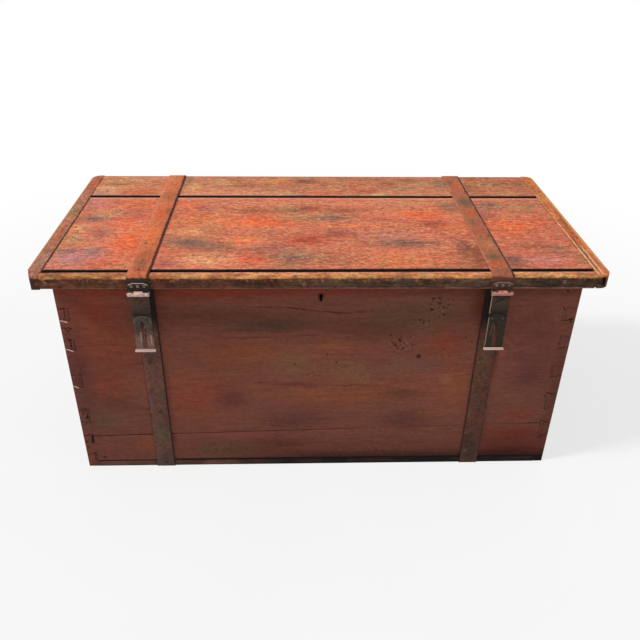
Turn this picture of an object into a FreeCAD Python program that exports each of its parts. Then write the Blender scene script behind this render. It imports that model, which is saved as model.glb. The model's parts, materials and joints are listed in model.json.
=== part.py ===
import FreeCAD, Part
import math
import os
import Sketcher

# A flat-topped blanket trunk. Its walls are wide boards, dovetailed at the four corners, on a floor
# of three boards. The lid is a middle board, a back board and a narrow front strip, held in grooved
# battens at both ends and left with open gaps where the boards have shrunk. Two iron straps bind it:
# each runs over the lid, carries a hinge at the back and a hanging hasp at the front, and a strap on
# the wall below carries the staple that the hasp closes over.
#
# The origin is the middle of the underside. X runs along the trunk, Y from front to back, Z up.

DIMENSIONS = (
    ("body_width", 1046, "outside of one end board to the outside of the other"),
    ("body_depth", 515, "front face of the front wall to the back face of the back wall"),
    ("body_height", 479, "floor to rim"),
    ("board_thick", 22, "all four walls"),
    ("bottom_thick", 17, "floor boards"),
    ("bottom_gap", 1, "gap between two floor boards"),
    ("seam_gap", 0.6, "open seam between the two boards of a wall"),
    ("pin_flare", 4.6, "how much narrower each side of a pin is at the corner than at its root"),
    ("keyhole_radius", 4, "round top of the keyhole"),
    ("keyhole_slot", 4.6, "width of the slot under it"),
    ("keyhole_fall", 12, "centre of the round top to the foot of the slot"),
    ("keyhole_drop", 34, "rim to the centre of the round top"),
    ("lid_front_overhang", 34, "lid beyond the front wall"),
    ("lid_side_overhang", 37, "lid beyond each end board"),
    ("lid_thick", 27.4, "lid boards and battens"),
    ("lid_rest_gap", 0.2, "lid above the rim"),
    ("lid_board_gap", 6.2, "open gap between two lid boards"),
    ("lid_end_gap", 0.6, "lid board to batten"),
    ("strip_depth", 21.0, "narrow strip along the front of the lid"),
    ("back_board_depth", 141.7, "back board of the lid"),
    ("batten_width", 26.5, "end battens of the lid"),
    ("tongue_length", 9, "tongue on the end of each lid board"),
    ("tongue_thick", 9, "tongue on the end of each lid board"),
    ("tongue_gap", 0.3, "play of the tongue in its groove"),
    ("lid_edge_round", 5, "worn long edges of the lid"),
    ("lid_corner_round", 20, "rounded corners of the lid"),
    ("lid_corner_clip_side", 11, "clipped left front corner, along the front"),
    ("lid_corner_clip_depth", 30, "clipped left front corner, along the end"),
    ("batten_slot_width", 9, "open mortise in the right batten's front end"),
    ("batten_slot_height", 19, "open mortise in the right batten's front end"),
    ("batten_slot_depth", 26, "open mortise in the right batten's front end"),
    ("batten_slot_inset", 10, "open mortise to the batten's outer side"),
    ("strap_inset", 175, "end of the wall to the middle of each strap"),
    ("strap_width", 41, "all straps"),
    ("strap_thick", 2.5, "all straps and hasp plates"),
    ("strap_top_drop", 1, "top of the wall straps below the rim"),
    ("hinge_pin_radius", 2.5, "pins of the lid hinges and hasps"),
    ("pin_play", 0.05, "knuckle bore around its pin"),
    ("pin_stand", 1.2, "pin beyond the outer knuckles"),
    ("knuckle_width", 17, "middle knuckle"),
    ("knuckle_side_gap", 0.3, "between two knuckles"),
    ("hasp_axis_drop", 0.5, "hasp knuckle below the lid"),
    ("leaf_rise", 23.2, "hasp pin to the top of the leaf on the lid's edge"),
    ("leaf_arch_rise", 2.4, "arched top of that leaf"),
    ("rivet_rise", 15.5, "hasp pin to the three rivets"),
    ("rivet_spacing", 12, "between two of the three rivets"),
    ("hasp_width", 36.5, "hanging plates"),
    ("link_length", 64, "hasp pin to the foot of the upper plate"),
    ("plate_top", 47.5, "hasp pin to the arched top of the lower plate"),
    ("plate_arch_rise", 9, "arched top of the lower plate"),
    ("plate_foot", 127.5, "hasp pin to the foot of the lower plate"),
    ("hasp_slot_width", 9.5, "slot that passes over the staple"),
    ("hasp_slot_top", 68.5, "hasp pin to the top of the slot"),
    ("hasp_slot_foot", 123, "hasp pin to the foot of the slot"),
    ("lip_width", 40, "lip turned out at the foot of the lower plate"),
    ("lip_length", 7, "lip turned out at the foot of the lower plate"),
    ("hasp_rivet_drop", 57, "hasp pin to the two rivets that join the plates"),
    ("hasp_rivet_spacing", 20, "between those two rivets"),
    ("staple_rod_radius", 2.7, "round bar of the staples"),
    ("staple_reach", 25, "staple beyond its strap"),
    ("staple_height", 34, "over the two legs"),
    ("staple_drop", 102, "rim to the middle of the staple"),
    ("staple_root", 17, "legs in the wall"),
    ("staple_bend", 6, "bends of the staple, at the middle of the bar"),
    ("nail_head_radius", 4.4, "nail heads"),
    ("nail_head_top_radius", 2.8, "flat top of the nail heads"),
    ("nail_head_height", 1.5, "nail heads"),
    ("nail_shank", 3.2, "square shanks"),
    ("nail_length", 20, "shanks under the head"),
    ("floor_nail_length", 42, "nails through the end boards into the floor boards"),
    ("nail_play", 0.1, "hole around a shank, on each side"),
    ("rivet_head_radius", 3.2, "rivet heads"),
    ("rivet_head_height", 1, "rivet heads"),
    ("rivet_length", 15, "rivets of the leaf on the lid's edge"),
    ("lock_width", 110, "lock case"),
    ("lock_height", 66, "lock case"),
    ("lock_depth", 16, "lock case"),
    ("lock_wall", 2.2, "lock case"),
    ("lock_flange", 14, "nailed flange at each side of the case"),
    ("lock_flange_height", 36, "nailed flange at each side of the case"),
    ("lock_play", 0.2, "bolt to its guides"),
    ("bolt_thick", 5, "sliding bolt"),
    ("bolt_bar_height", 7, "long bar of the bolt"),
    ("bolt_bar_drop", 20, "rim to the top of the bar"),
    ("bolt_hook_width", 6, "upright of each hook"),
    ("bolt_hook_drop", 4.5, "rim to the top of each hook"),
    ("bolt_hook_height", 5.5, "point of each hook"),
    ("bolt_hook_reach", 10, "point of each hook beyond its upright"),
    ("bolt_hook_rest", 2.5, "point of each hook to its loop when unlocked"),
    ("bolt_travel", 12, "bolt drawn to bolt thrown"),
    ("bolt_notch_width", 8, "notch for the key"),
    ("bolt_notch_height", 3, "notch for the key"),
    ("guide_width", 8, "two guides in the case"),
    ("guide_height", 3, "two guides in the case"),
    ("guide_inset", 1, "guide inside the stretch of bar that covers it, drawn or thrown"),
    ("key_post_radius", 1.7, "post that the key turns on"),
    ("key_post_length", 11, "post that the key turns on"),
    ("loop_left", 10, "middle of the trunk to the left loop"),
    ("loop_right", 40, "middle of the trunk to the right loop"),
    ("loop_thick", 3, "loops under the lid"),
    ("loop_width", 10, "loops under the lid"),
    ("loop_length", 14, "loops under the lid"),
    ("loop_hole_width", 6.4, "hole in each loop"),
    ("loop_hole_height", 7.6, "hole in each loop"),
    ("loop_foot", 3.2, "iron under that hole"),
    ("loop_play", 1, "slot in the case around its loop"),
    ("catch_margin", 16, "catch plate beyond its loops"),
    ("catch_depth", 14, "catch plate, front to back"),
    ("catch_nail_length", 14, "nails of the catch plate"),
    ("handle_height", 330, "floor to the pivots of the end handles"),
    ("handle_rod_radius", 4, "round bar of the handles"),
    ("handle_play", 0.08, "eye around the bar"),
    ("handle_span", 150, "between the two legs"),
    ("handle_drop", 58, "pivot to the grip"),
    ("handle_bend", 9, "bends, at the middle of the bar"),
    ("eye_spread", 108, "between the middles of the two eyes"),
    ("eye_width", 22, "eyes"),
    ("eye_leaf", 28, "pivot to the end of each leaf"),
    ("eye_nail_rise", 18, "pivot to each nail"),
    ("handle_tail", 2, "bar beyond the eye, inside"),
    ("overrun", 2, "every cutter beyond the piece it cuts"),
)

# Pins of the end boards, from the lowest up, as shares of the body height: foot and top of each.
LEFT_PIN_SHARES = ((0, 0.081), (0.146, 0.194), (0.261, 0.342), (0.466, 0.539), (0.664, 0.718), (0.814, 0.874))
RIGHT_PIN_SHARES = ((0, 0.081), (0.157, 0.251), (0.322, 0.418), (0.505, 0.57), (0.658, 0.727), (0.802, 0.873))

# Where the two boards of each wall meet, as shares of the body height.
FRONT_SEAM_SHARES = (0.186, 0.24)
BACK_SEAM_SHARES = (0.174, 0.174)
LEFT_SEAM_SHARE = 0.228
RIGHT_SEAM_SHARE = 0.286

# Nails of the wall straps: across as a share of the strap's width, up as a share of the body height.
LEFT_FRONT_NAIL_SHARES = ((-0.17, 0.604), (0.05, 0.33), (0.04, 0.025))
RIGHT_FRONT_NAIL_SHARES = ((-0.17, 0.614), (-0.17, 0.53), (0.12, 0.326), (0, 0.025))
BACK_NAIL_SHARES = ((0.1, 0.86), (-0.12, 0.6), (0.1, 0.33), (0, 0.025))

# Nails of the lid, by board: across as a share of the strap's width, back as a share of the board's depth.
LEFT_LID_NAIL_SHARES = (
    ("front", -0.05, 0.56), ("middle", 0.1, 0.293), ("middle", -0.08, 0.684), ("back", 0.06, 0.496),
)
RIGHT_LID_NAIL_SHARES = (
    ("front", 0.02, 0.56), ("middle", -0.12, 0.403), ("back", 0.3, 0.128), ("back", 0, 0.729),
)
LEFT_BATTEN_NAIL_SHARES = (("middle", 0.083), ("middle", 0.602), ("middle", 0.954), ("back", 0.729))
RIGHT_BATTEN_NAIL_SHARES = (("middle", 0.113), ("middle", 0.533), ("back", 0.167), ("back", 0.729))

# Nails in the lid's front face: along as a share of half the lid's width, up as a share of its thickness.
FRONT_FACE_NAIL_SHARES = ((-0.93, 0.48), (-0.06, 0.38), (0.837, 0.55))

FLOOR_NAIL_SHARES = (0.25, 0.75)

doc = FreeCAD.newDocument("Trunk")
sheet = doc.addObject("Spreadsheet::Sheet", "Sizes")


class Size:
    """A length held both as a number and as the expression that a property is bound to."""

    def __init__(self, number, text):
        self.number = number
        self.text = text

    def __add__(self, other):
        other = as_size(other)
        return Size(self.number + other.number, f"({self.text} + {other.text})")

    def __sub__(self, other):
        other = as_size(other)
        return Size(self.number - other.number, f"({self.text} - {other.text})")

    def __mul__(self, other):
        other = as_size(other)
        return Size(self.number * other.number, f"({self.text} * {other.text})")

    def __truediv__(self, other):
        other = as_size(other)
        return Size(self.number / other.number, f"({self.text} / {other.text})")

    def __neg__(self):
        return Size(-self.number, f"(0 - {self.text})")

    __radd__ = __add__
    __rmul__ = __mul__


def as_size(item):
    return item if isinstance(item, Size) else Size(float(item), repr(item))


def fill_sheet():
    """Write the driving dimensions and give back one Size for each."""
    sizes = {}
    for row, (alias, value, note) in enumerate(DIMENSIONS, start=1):
        sheet.set(f"A{row}", alias)
        sheet.set(f"B{row}", str(value))
        sheet.set(f"C{row}", note)
        sheet.setAlias(f"B{row}", alias)
        sizes[alias] = Size(float(value), f"Sizes.{alias}")
    doc.recompute()
    return sizes


S = fill_sheet()
AXES = "xyz"
UNITS = (FreeCAD.Vector(1, 0, 0), FreeCAD.Vector(0, 1, 0), FreeCAD.Vector(0, 0, 1))
nodes = {}


def bind(item, path, size):
    size = as_size(size)
    item.setExpression(path, size.text)


def place(item, point):
    for axis, size in zip(AXES, point):
        bind(item, f"Placement.Base.{axis}", size)


def node(name, item):
    """Name a finished sub-part."""
    item.Label = name
    nodes[name] = item
    return item


def box(name, across, back, up):
    """A box from its lowest and highest place along X, Y and Z."""
    item = doc.addObject("Part::Box", name)
    for path, (low, high) in zip(("Length", "Width", "Height"), (across, back, up)):
        bind(item, path, as_size(high) - low)
    place(item, (across[0], back[0], up[0]))
    return item


def cylinder(name, axis, start, radius, length):
    """A round bar that starts at a point and runs along one axis."""
    item = doc.addObject("Part::Cylinder", name)
    bind(item, "Radius", radius)
    bind(item, "Height", length)
    item.Placement.Rotation = FreeCAD.Rotation(UNITS[2], UNITS[axis])
    place(item, start)
    return item


def joined(name, items):
    item = doc.addObject("Part::MultiFuse", name)
    item.Shapes = items
    return item


def shared(name, items):
    item = doc.addObject("Part::MultiCommon", name)
    item.Shapes = items
    return item


def group(name, items):
    item = doc.addObject("Part::Compound", name)
    item.Links = items
    return item


def cut(name, base, tools):
    item = doc.addObject("Part::Cut", name)
    item.Base = base
    item.Tool = tools[0] if len(tools) == 1 else group(f"{name}_cutters", tools)
    return item


def plane_of(body, role):
    return next(item for item in body.Origin.OriginFeatures if item.Role == role)


def sketch_on(body, role, name):
    sketch = body.newObject("Sketcher::SketchObject", name)
    sketch.AttachmentSupport = [(plane_of(body, role), "")]
    sketch.MapMode = "FlatFace"
    return sketch


def hold(sketch, edge, end, corner):
    """Hold one end of an edge at its place by two bound distances from the origin."""
    for kind, size in zip(("DistanceX", "DistanceY"), corner):
        number = sketch.addConstraint(Sketcher.Constraint(kind, -1, 1, edge, end, size.number))
        bind(sketch, f"Constraints[{number}]", size)


def flat_point(corner):
    return FreeCAD.Vector(corner[0].number, corner[1].number, 0)


def padded(name, role, corners, depth, start):
    """A straight-edged outline on one of the body's planes, padded towards plus."""
    body = doc.addObject("PartDesign::Body", name)
    sketch = sketch_on(body, role, f"{name}_outline")
    corners = [tuple(as_size(size) for size in corner) for corner in corners]
    following = corners[1:] + corners[:1]
    for here, there in zip(corners, following):
        sketch.addGeometry(Part.LineSegment(flat_point(here), flat_point(there)), False)
    for edge, corner in enumerate(corners):
        sketch.addConstraint(Sketcher.Constraint("Coincident", edge, 2, (edge + 1) % len(corners), 1))
        hold(sketch, edge, 1, corner)
    pad = body.newObject("PartDesign::Pad", f"{name}_pad")
    pad.Profile = sketch
    pad.Reversed = role == "XZ_Plane"
    bind(pad, "Length", depth)
    place(body, start)
    return body


def edges_where(shape, test):
    return [f"Edge{number}" for number, edge in enumerate(shape.Edges, start=1) if test(edge)]


def round_edges(body, name, radius, test):
    """Round the edges of the body's tip that pass a test on their end points."""
    doc.recompute()
    base = body.Tip
    item = body.newObject("PartDesign::Fillet", name)
    item.Base = (base, edges_where(base.Shape, test))
    bind(item, "Radius", radius)
    body.Tip = item
    return item


def lies_at(places):
    """A test for a straight edge whose two ends lie at the given places in a body's own frame."""
    def test(edge):
        for vertex in edge.Vertexes:
            for axis, size in places.items():
                if abs(vertex.Point[axis] - as_size(size).number) > 1e-4:
                    return False
        return True
    return test


def bent_rod(name, corners, bend, radius, start):
    """A round bar bent in a plane across X, from the first corner, at the start, to the last."""
    body = doc.addObject("PartDesign::Body", name)
    path = sketch_on(body, "YZ_Plane", f"{name}_path")
    corners = [tuple(as_size(size) for size in corner) for corner in corners]
    turns = []
    for before, corner, after in zip(corners, corners[1:], corners[2:]):
        back = direction(corner, before)
        ahead = direction(corner, after)
        turns.append((stepped(corner, back, bend), stepped(corner, ahead, bend), back, ahead))
    starts = [corners[0]] + [turn[1] for turn in turns]
    ends = [turn[0] for turn in turns] + [corners[-1]]
    for edge, (here, there) in enumerate(zip(starts, ends)):
        path.addGeometry(Part.LineSegment(flat_point(here), flat_point(there)), False)
        hold(path, edge, 1, here)
        hold(path, edge, 2, there)
    for number, (into, out, back, ahead) in enumerate(turns):
        inward = FreeCAD.Vector(back[0] + ahead[0], back[1] + ahead[1], 0) / math.sqrt(2)
        middle = (flat_point(into) + flat_point(out)) / 2 - inward * bend.number * (1 - math.sqrt(0.5))
        arc = path.addGeometry(Part.Arc(flat_point(into), middle, flat_point(out)), False)
        first, last = arc_ends(path.Geometry[arc], flat_point(into))
        path.addConstraint(Sketcher.Constraint("Coincident", number, 2, arc, first))
        path.addConstraint(Sketcher.Constraint("Coincident", number + 1, 1, arc, last))
        path.addConstraint(Sketcher.Constraint("Radius", arc, bend.number))
        bind(path, f"Constraints[{path.ConstraintCount - 1}]", bend)
    ring = sketch_on(body, "XZ_Plane", f"{name}_section")
    ring.addGeometry(Part.Circle(FreeCAD.Vector(0, 0, 0), UNITS[2], radius.number), False)
    ring.addConstraint(Sketcher.Constraint("Coincident", 0, 3, -1, 1))
    ring.addConstraint(Sketcher.Constraint("Radius", 0, radius.number))
    bind(ring, "Constraints[1]", radius)
    doc.recompute()
    pipe = body.newObject("PartDesign::AdditivePipe", f"{name}_pipe")
    pipe.Profile = ring
    pipe.Spine = (path, [f"Edge{number + 1}" for number in range(path.GeometryCount)])
    place(body, start)
    return body


def direction(here, there):
    """Unit step from one corner to another along an axis."""
    run = [there[axis].number - here[axis].number for axis in range(2)]
    length = math.hypot(*run)
    return tuple(round(part / length) for part in run)


def stepped(corner, step, length):
    return tuple(corner[axis] + length * step[axis] for axis in range(2))


def arc_ends(arc, first_point):
    """Which ends of an arc in a sketch are its first and last along the path."""
    return (1, 2) if (arc.StartPoint - first_point).Length < 1e-6 else (2, 1)


def spike(name, point, axis, outward, half, length):
    """A square bar that runs into the work from a point on its face."""
    ranges = [(as_size(place_at) - half, as_size(place_at) + half) for place_at in point]
    face = as_size(point[axis])
    ranges[axis] = (face - length, face) if outward > 0 else (face, face + length)
    return box(name, *ranges)


def nail_set(name, places, head, length):
    """Nails as one node, and the cutters for their holes: each place is a point, an axis and a way out."""
    radius, top, height = head
    half = S["nail_shank"] / 2
    nails = []
    holes = []
    for number, (point, axis, outward) in enumerate(places, start=1):
        title = f"{name}_{number}"
        crown = doc.addObject("Part::Cone", f"{title}_head")
        bind(crown, "Radius1", radius)
        bind(crown, "Radius2", top)
        bind(crown, "Height", height)
        crown.Placement.Rotation = FreeCAD.Rotation(UNITS[2], UNITS[axis] * outward)
        place(crown, point)
        shank = spike(f"{title}_shank", point, axis, outward, half, length)
        nails.append(joined(title, [crown, shank]))
        play = S["nail_play"]
        holes.append(spike(f"{title}_hole", point, axis, outward, half + play, length + play))
    return node(name, group(f"{name}_node", nails)), group(f"{name}_holes", holes)


def knuckle_parts(name, spans, axis_y, axis_z, leaf, reach):
    """Knuckles around a hinge pin, each with the tongue of strap that it is rolled from."""
    parts = []
    for number, span in enumerate(spans, start=1):
        width = as_size(span[1]) - span[0]
        start = (span[0], axis_y, axis_z)
        parts.append(cylinder(f"{name}_knuckle_{number}", 0, start, KNUCKLE_RADIUS, width))
        parts.append(box(f"{name}_tongue_{number}", span, leaf, reach))
    return parts


def pin_bore(name, centre, axis_y, axis_z):
    half = S["strap_width"] / 2 + S["overrun"]
    radius = S["hinge_pin_radius"] + S["pin_play"]
    return cylinder(name, 0, (centre - half, axis_y, axis_z), radius, half * 2)


def hinge_pin(name, centre, axis_y, axis_z):
    half = S["strap_width"] / 2 + S["pin_stand"]
    pin = cylinder(f"{name}_bar", 0, (centre - half, axis_y, axis_z), S["hinge_pin_radius"], half * 2)
    return node(name, pin)


def arched(name, across, back, foot, top, rise):
    """An upright plate whose top edge is an arc that rises by a given height at the middle."""
    half = (as_size(across[1]) - across[0]) / 2
    radius = half * half / (rise * 2) + rise / 2
    plate = box(f"{name}_plate", across, back, (foot, top))
    middle = as_size(across[0]) + half
    depth = as_size(back[1]) - back[0]
    disc = cylinder(f"{name}_arc", 1, (middle, back[0], as_size(top) - radius), radius, depth)
    below = box(f"{name}_below", across, back, (foot, as_size(top) - rise))
    crown = shared(f"{name}_crown", [plate, disc])
    return joined(f"{name}_arched", [below, crown])


# Places that several pieces share.
HALF_WIDTH = S["body_width"] / 2
INNER_HALF = HALF_WIDTH - S["board_thick"]
FRONT = -(S["body_depth"] / 2)
BACK = S["body_depth"] / 2
INNER_FRONT = FRONT + S["board_thick"]
INNER_BACK = BACK - S["board_thick"]
RIM = S["body_height"]
LID_HALF = HALF_WIDTH + S["lid_side_overhang"]
LID_FRONT = FRONT - S["lid_front_overhang"]
LID_DEPTH = BACK - LID_FRONT
LID_BOARDS = {
    "front": (LID_FRONT, S["strip_depth"]),
    "middle": (LID_FRONT + S["strip_depth"] + S["lid_board_gap"],
               LID_DEPTH - S["strip_depth"] - S["back_board_depth"] - S["lid_board_gap"] * 2),
    "back": (BACK - S["back_board_depth"], S["back_board_depth"]),
}
LID_FOOT = RIM + S["lid_rest_gap"]
LID_TOP = LID_FOOT + S["lid_thick"]
KNUCKLE_RADIUS = S["hinge_pin_radius"] + S["pin_play"] + S["strap_thick"]
HASP_FACE = LID_FRONT - S["strap_thick"]
HASP_AXIS_Y = HASP_FACE - KNUCKLE_RADIUS
HASP_AXIS_Z = RIM - KNUCKLE_RADIUS - S["hasp_axis_drop"]
LID_AXIS_Y = BACK + KNUCKLE_RADIUS
LID_AXIS_Z = RIM
STRAP_CENTRE = HALF_WIDTH - S["strap_inset"]
SIDES = (("left", -1), ("right", 1))
NAIL_HEAD = (S["nail_head_radius"], S["nail_head_top_radius"], S["nail_head_height"])
RIVET_HEAD = (S["rivet_head_radius"], S["nail_head_top_radius"], S["rivet_head_height"])


def corner_outline(side, pins, low, high):
    """One end of a front or back board, from low to high, with a socket for each pin in between."""
    outer = HALF_WIDTH * side
    inner = INNER_HALF * side
    flare = S["pin_flare"]
    corners = []
    for foot, top in pins:
        if foot is not None:
            corners.append((outer, foot + flare))
            corners.append((inner, foot))
        else:
            corners.append((inner, low))
        if top is not None:
            corners.append((inner, top))
            corners.append((outer, top - flare))
        else:
            corners.append((inner, high))
    if pins[-1][1] is not None:
        corners.append((outer, high))
    return corners


def wall_boards(name, start_y, seams):
    """The upper and lower board of a front or back wall, before any hole is made."""
    half_seam = S["seam_gap"] / 2
    boards = []
    for level in ("upper", "lower"):
        ends = []
        for side, pins, seam in ((-1, LEFT_PIN_SHARES, seams[0]), (1, RIGHT_PIN_SHARES, seams[1])):
            heights = [(RIM * foot, RIM * top) for foot, top in pins]
            split = next(number for number, (foot, top) in enumerate(pins) if foot < seam < top)
            split_foot, split_top = heights[split]
            if level == "upper":
                own = [(None, split_top)] + heights[split + 1:]
                ends.append(corner_outline(side, own, RIM * seam + half_seam, RIM))
            else:
                own = [(None, heights[0][1])] + heights[1:split] + [(split_foot, None)]
                ends.append(corner_outline(side, own, S["bottom_thick"], RIM * seam - half_seam))
        outline = ends[0] + ends[1][::-1]
        boards.append(padded(f"{name}_{level}_board", "XZ_Plane", outline, S["board_thick"], (0, start_y, 0)))
    return boards


def end_boards(name, side, seam, walls, floor_holes, handle_holes):
    """Both boards of an end wall: slabs across the trunk, cut to pins by the boards they are joined to."""
    across = (-HALF_WIDTH, -INNER_HALF) if side < 0 else (INNER_HALF, HALF_WIDTH)
    half_seam = S["seam_gap"] / 2
    upper = box(f"{name}_upper_slab", across, (FRONT, BACK), (RIM * seam + half_seam, RIM))
    lower = box(f"{name}_lower_slab", across, (FRONT, BACK), (0, RIM * seam - half_seam))
    sockets = joined(f"{name}_tails", walls)
    for level, slab, holes in (("upper", upper, handle_holes), ("lower", lower, floor_holes)):
        pins = cut(f"{name}_{level}_pins", slab, [sockets])
        node(f"{name}_{level}", cut(f"{name}_{level}_cut", pins, [holes]))


def floor_boards():
    """Three floor boards between the end boards, nailed through them."""
    gap = S["bottom_gap"]
    width = (S["body_depth"] - gap * 2) / 3
    half_thick = S["bottom_thick"] / 2
    places = []
    blanks = []
    for number in range(3):
        low = FRONT + (width + gap) * number
        across = (-INNER_HALF, INNER_HALF)
        blanks.append(box(f"floor_blank_{number + 1}", across, (low, low + width), (0, S["bottom_thick"])))
        for share in FLOOR_NAIL_SHARES:
            for side in (-1, 1):
                places.append(((HALF_WIDTH * side, low + width * share, half_thick), 0, side))
    holes = nail_set("floor_nails", places, NAIL_HEAD, S["floor_nail_length"])[1]
    return blanks, holes


def strap_spans(centre):
    """Across ranges of the middle knuckle and of the two outer ones."""
    half = S["strap_width"] / 2
    half_knuckle = S["knuckle_width"] / 2
    outer = half_knuckle + S["knuckle_side_gap"]
    middle = [(centre - half_knuckle, centre + half_knuckle)]
    outers = [(centre - half, centre - outer), (centre + outer, centre + half)]
    return middle, outers


def wall_strap_nails(name, shares_by_side, face, outward):
    places = []
    for (_, side), shares in zip(SIDES, shares_by_side):
        for across, up in shares:
            x = STRAP_CENTRE * side + S["strap_width"] * across
            places.append(((x, face, RIM * up), 1, outward))
    return nail_set(name, places, NAIL_HEAD, S["nail_length"])[1]


def staple(side_name, side):
    """A hasp staple driven through its strap into the front wall, and the cutters for its two legs."""
    centre = STRAP_CENTRE * side
    rod = S["staple_rod_radius"]
    rise = S["staple_height"] / 2 - rod
    out = S["staple_root"] + S["strap_thick"] + S["staple_reach"] - rod
    top = RIM - S["staple_drop"] + rise
    corners = ((0, 0), (-out, 0), (-out, -(rise * 2)), (0, -(rise * 2)))
    start = (centre, FRONT + S["staple_root"], top)
    node(f"hasp_staple_{side_name}", bent_rod(f"staple_{side_name}", corners, S["staple_bend"], rod, start))
    play = S["nail_play"]
    length = S["staple_root"] + S["strap_thick"] + S["overrun"] + play
    legs = []
    for number, height in enumerate((top, top - rise * 2), start=1):
        leg_start = (centre, FRONT - S["strap_thick"] - S["overrun"], height)
        legs.append(cylinder(f"staple_{side_name}_leg_{number}", 1, leg_start, rod + play, length))
    return group(f"staple_{side_name}_legs", legs)


def front_straps(nail_holes, staple_holes):
    for (name, side), legs in zip(SIDES, staple_holes):
        centre = STRAP_CENTRE * side
        half = S["strap_width"] / 2
        across = (centre - half, centre + half)
        back = (FRONT - S["strap_thick"], FRONT)
        blank = box(f"front_strap_{name}_blank", across, back, (0, RIM - S["strap_top_drop"]))
        node(f"front_strap_{name}", cut(f"front_strap_{name}_cut", blank, [nail_holes, legs]))


def back_straps(nail_holes):
    """Straps down the back wall, each rolled into the two outer knuckles of its lid hinge."""
    for name, side in SIDES:
        centre = STRAP_CENTRE * side
        half = S["strap_width"] / 2
        leaf = (BACK, BACK + S["strap_thick"])
        shoulder = LID_AXIS_Z - KNUCKLE_RADIUS - S["knuckle_side_gap"]
        outers = strap_spans(centre)[1]
        parts = [box(f"back_strap_{name}_leaf", (centre - half, centre + half), leaf, (0, shoulder))]
        reach = (shoulder, LID_AXIS_Z)
        parts += knuckle_parts(f"back_strap_{name}", outers, LID_AXIS_Y, LID_AXIS_Z, leaf, reach)
        bore = pin_bore(f"back_strap_{name}_bore", centre, LID_AXIS_Y, LID_AXIS_Z)
        blank = joined(f"back_strap_{name}_blank", parts)
        node(f"back_strap_{name}", cut(f"back_strap_{name}_cut", blank, [bore, nail_holes]))
        hinge_pin(f"lid_hinge_pin_{name}", centre, LID_AXIS_Y, LID_AXIS_Z)


def keyhole():
    """Round hole with a slot under it, through the front wall."""
    centre = RIM - S["keyhole_drop"]
    start = FRONT - S["overrun"]
    depth = S["board_thick"] + S["overrun"] * 2
    half = S["keyhole_slot"] / 2
    eye = cylinder("keyhole_eye", 1, (0, start, centre), S["keyhole_radius"], depth)
    foot = centre - S["keyhole_fall"]
    slot = box("keyhole_slot_cutter", (-half, half), (start, start + depth), (foot, centre))
    return joined("keyhole", [eye, slot])


# The lock's own places: the bolt slides along X on a line behind the front wall.
LOCK_LINE = INNER_FRONT + (S["lock_depth"] - S["lock_wall"]) / 2
BOLT_FOOT = RIM - S["bolt_bar_drop"] - S["bolt_bar_height"]
LOOPS = (-S["loop_left"], S["loop_right"])


def hook_root(loop):
    """Left side of the bolt's upright that serves a loop, with the bolt drawn back."""
    return loop - S["loop_thick"] / 2 - S["bolt_hook_rest"] - S["bolt_hook_reach"] - S["bolt_hook_width"]


def lock_case(flange_holes):
    """Iron case nailed inside the front wall, open towards the wall, with two slots in its top."""
    half = S["lock_width"] / 2
    wall = S["lock_wall"]
    far = INNER_FRONT + S["lock_depth"]
    foot = RIM - S["lock_height"]
    shell = box("lock_shell", (-half, half), (INNER_FRONT, far), (foot, RIM))
    flange_foot = RIM - S["lock_height"] / 2 - S["lock_flange_height"] / 2
    flange_reach = half + S["lock_flange"]
    flange = box("lock_flanges", (-flange_reach, flange_reach), (INNER_FRONT, INNER_FRONT + wall),
                 (flange_foot, flange_foot + S["lock_flange_height"]))
    inner_back = (INNER_FRONT - S["overrun"], far - wall)
    hollow = box("lock_hollow", (wall - half, half - wall), inner_back, (foot + wall, RIM - wall))
    play = S["loop_play"]
    slots = []
    for number, loop in enumerate(LOOPS, start=1):
        reach_x = S["loop_thick"] / 2 + play
        reach_y = S["loop_width"] / 2 + play
        slots.append(box(f"lock_slot_{number}", (loop - reach_x, loop + reach_x),
                         (LOCK_LINE - reach_y, LOCK_LINE + reach_y),
                         (RIM - wall - S["overrun"], RIM + S["overrun"])))
    guides = []
    left_guide = hook_root(LOOPS[0]) + S["bolt_travel"] + S["guide_inset"]
    right_guide = hook_root(LOOPS[1]) + S["bolt_hook_width"] - S["guide_inset"] - S["guide_width"]
    for number, low in enumerate((left_guide, right_guide), start=1):
        across = (low, low + S["guide_width"])
        under = BOLT_FOOT - S["lock_play"]
        behind = LOCK_LINE + S["bolt_thick"] / 2 + S["lock_play"]
        front = LOCK_LINE - S["bolt_thick"] / 2
        guides.append(box(f"lock_guide_{number}_foot", across, (front, far - wall),
                          (under - S["guide_height"], under)))
        guides.append(box(f"lock_guide_{number}_back", across, (behind, far - wall),
                          (under, under + S["bolt_bar_height"])))
    emptied = cut("lock_emptied", joined("lock_outside", [shell, flange]), [hollow] + slots + [flange_holes])
    node("lock_case", joined("lock_case_whole", [emptied] + guides))


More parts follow.
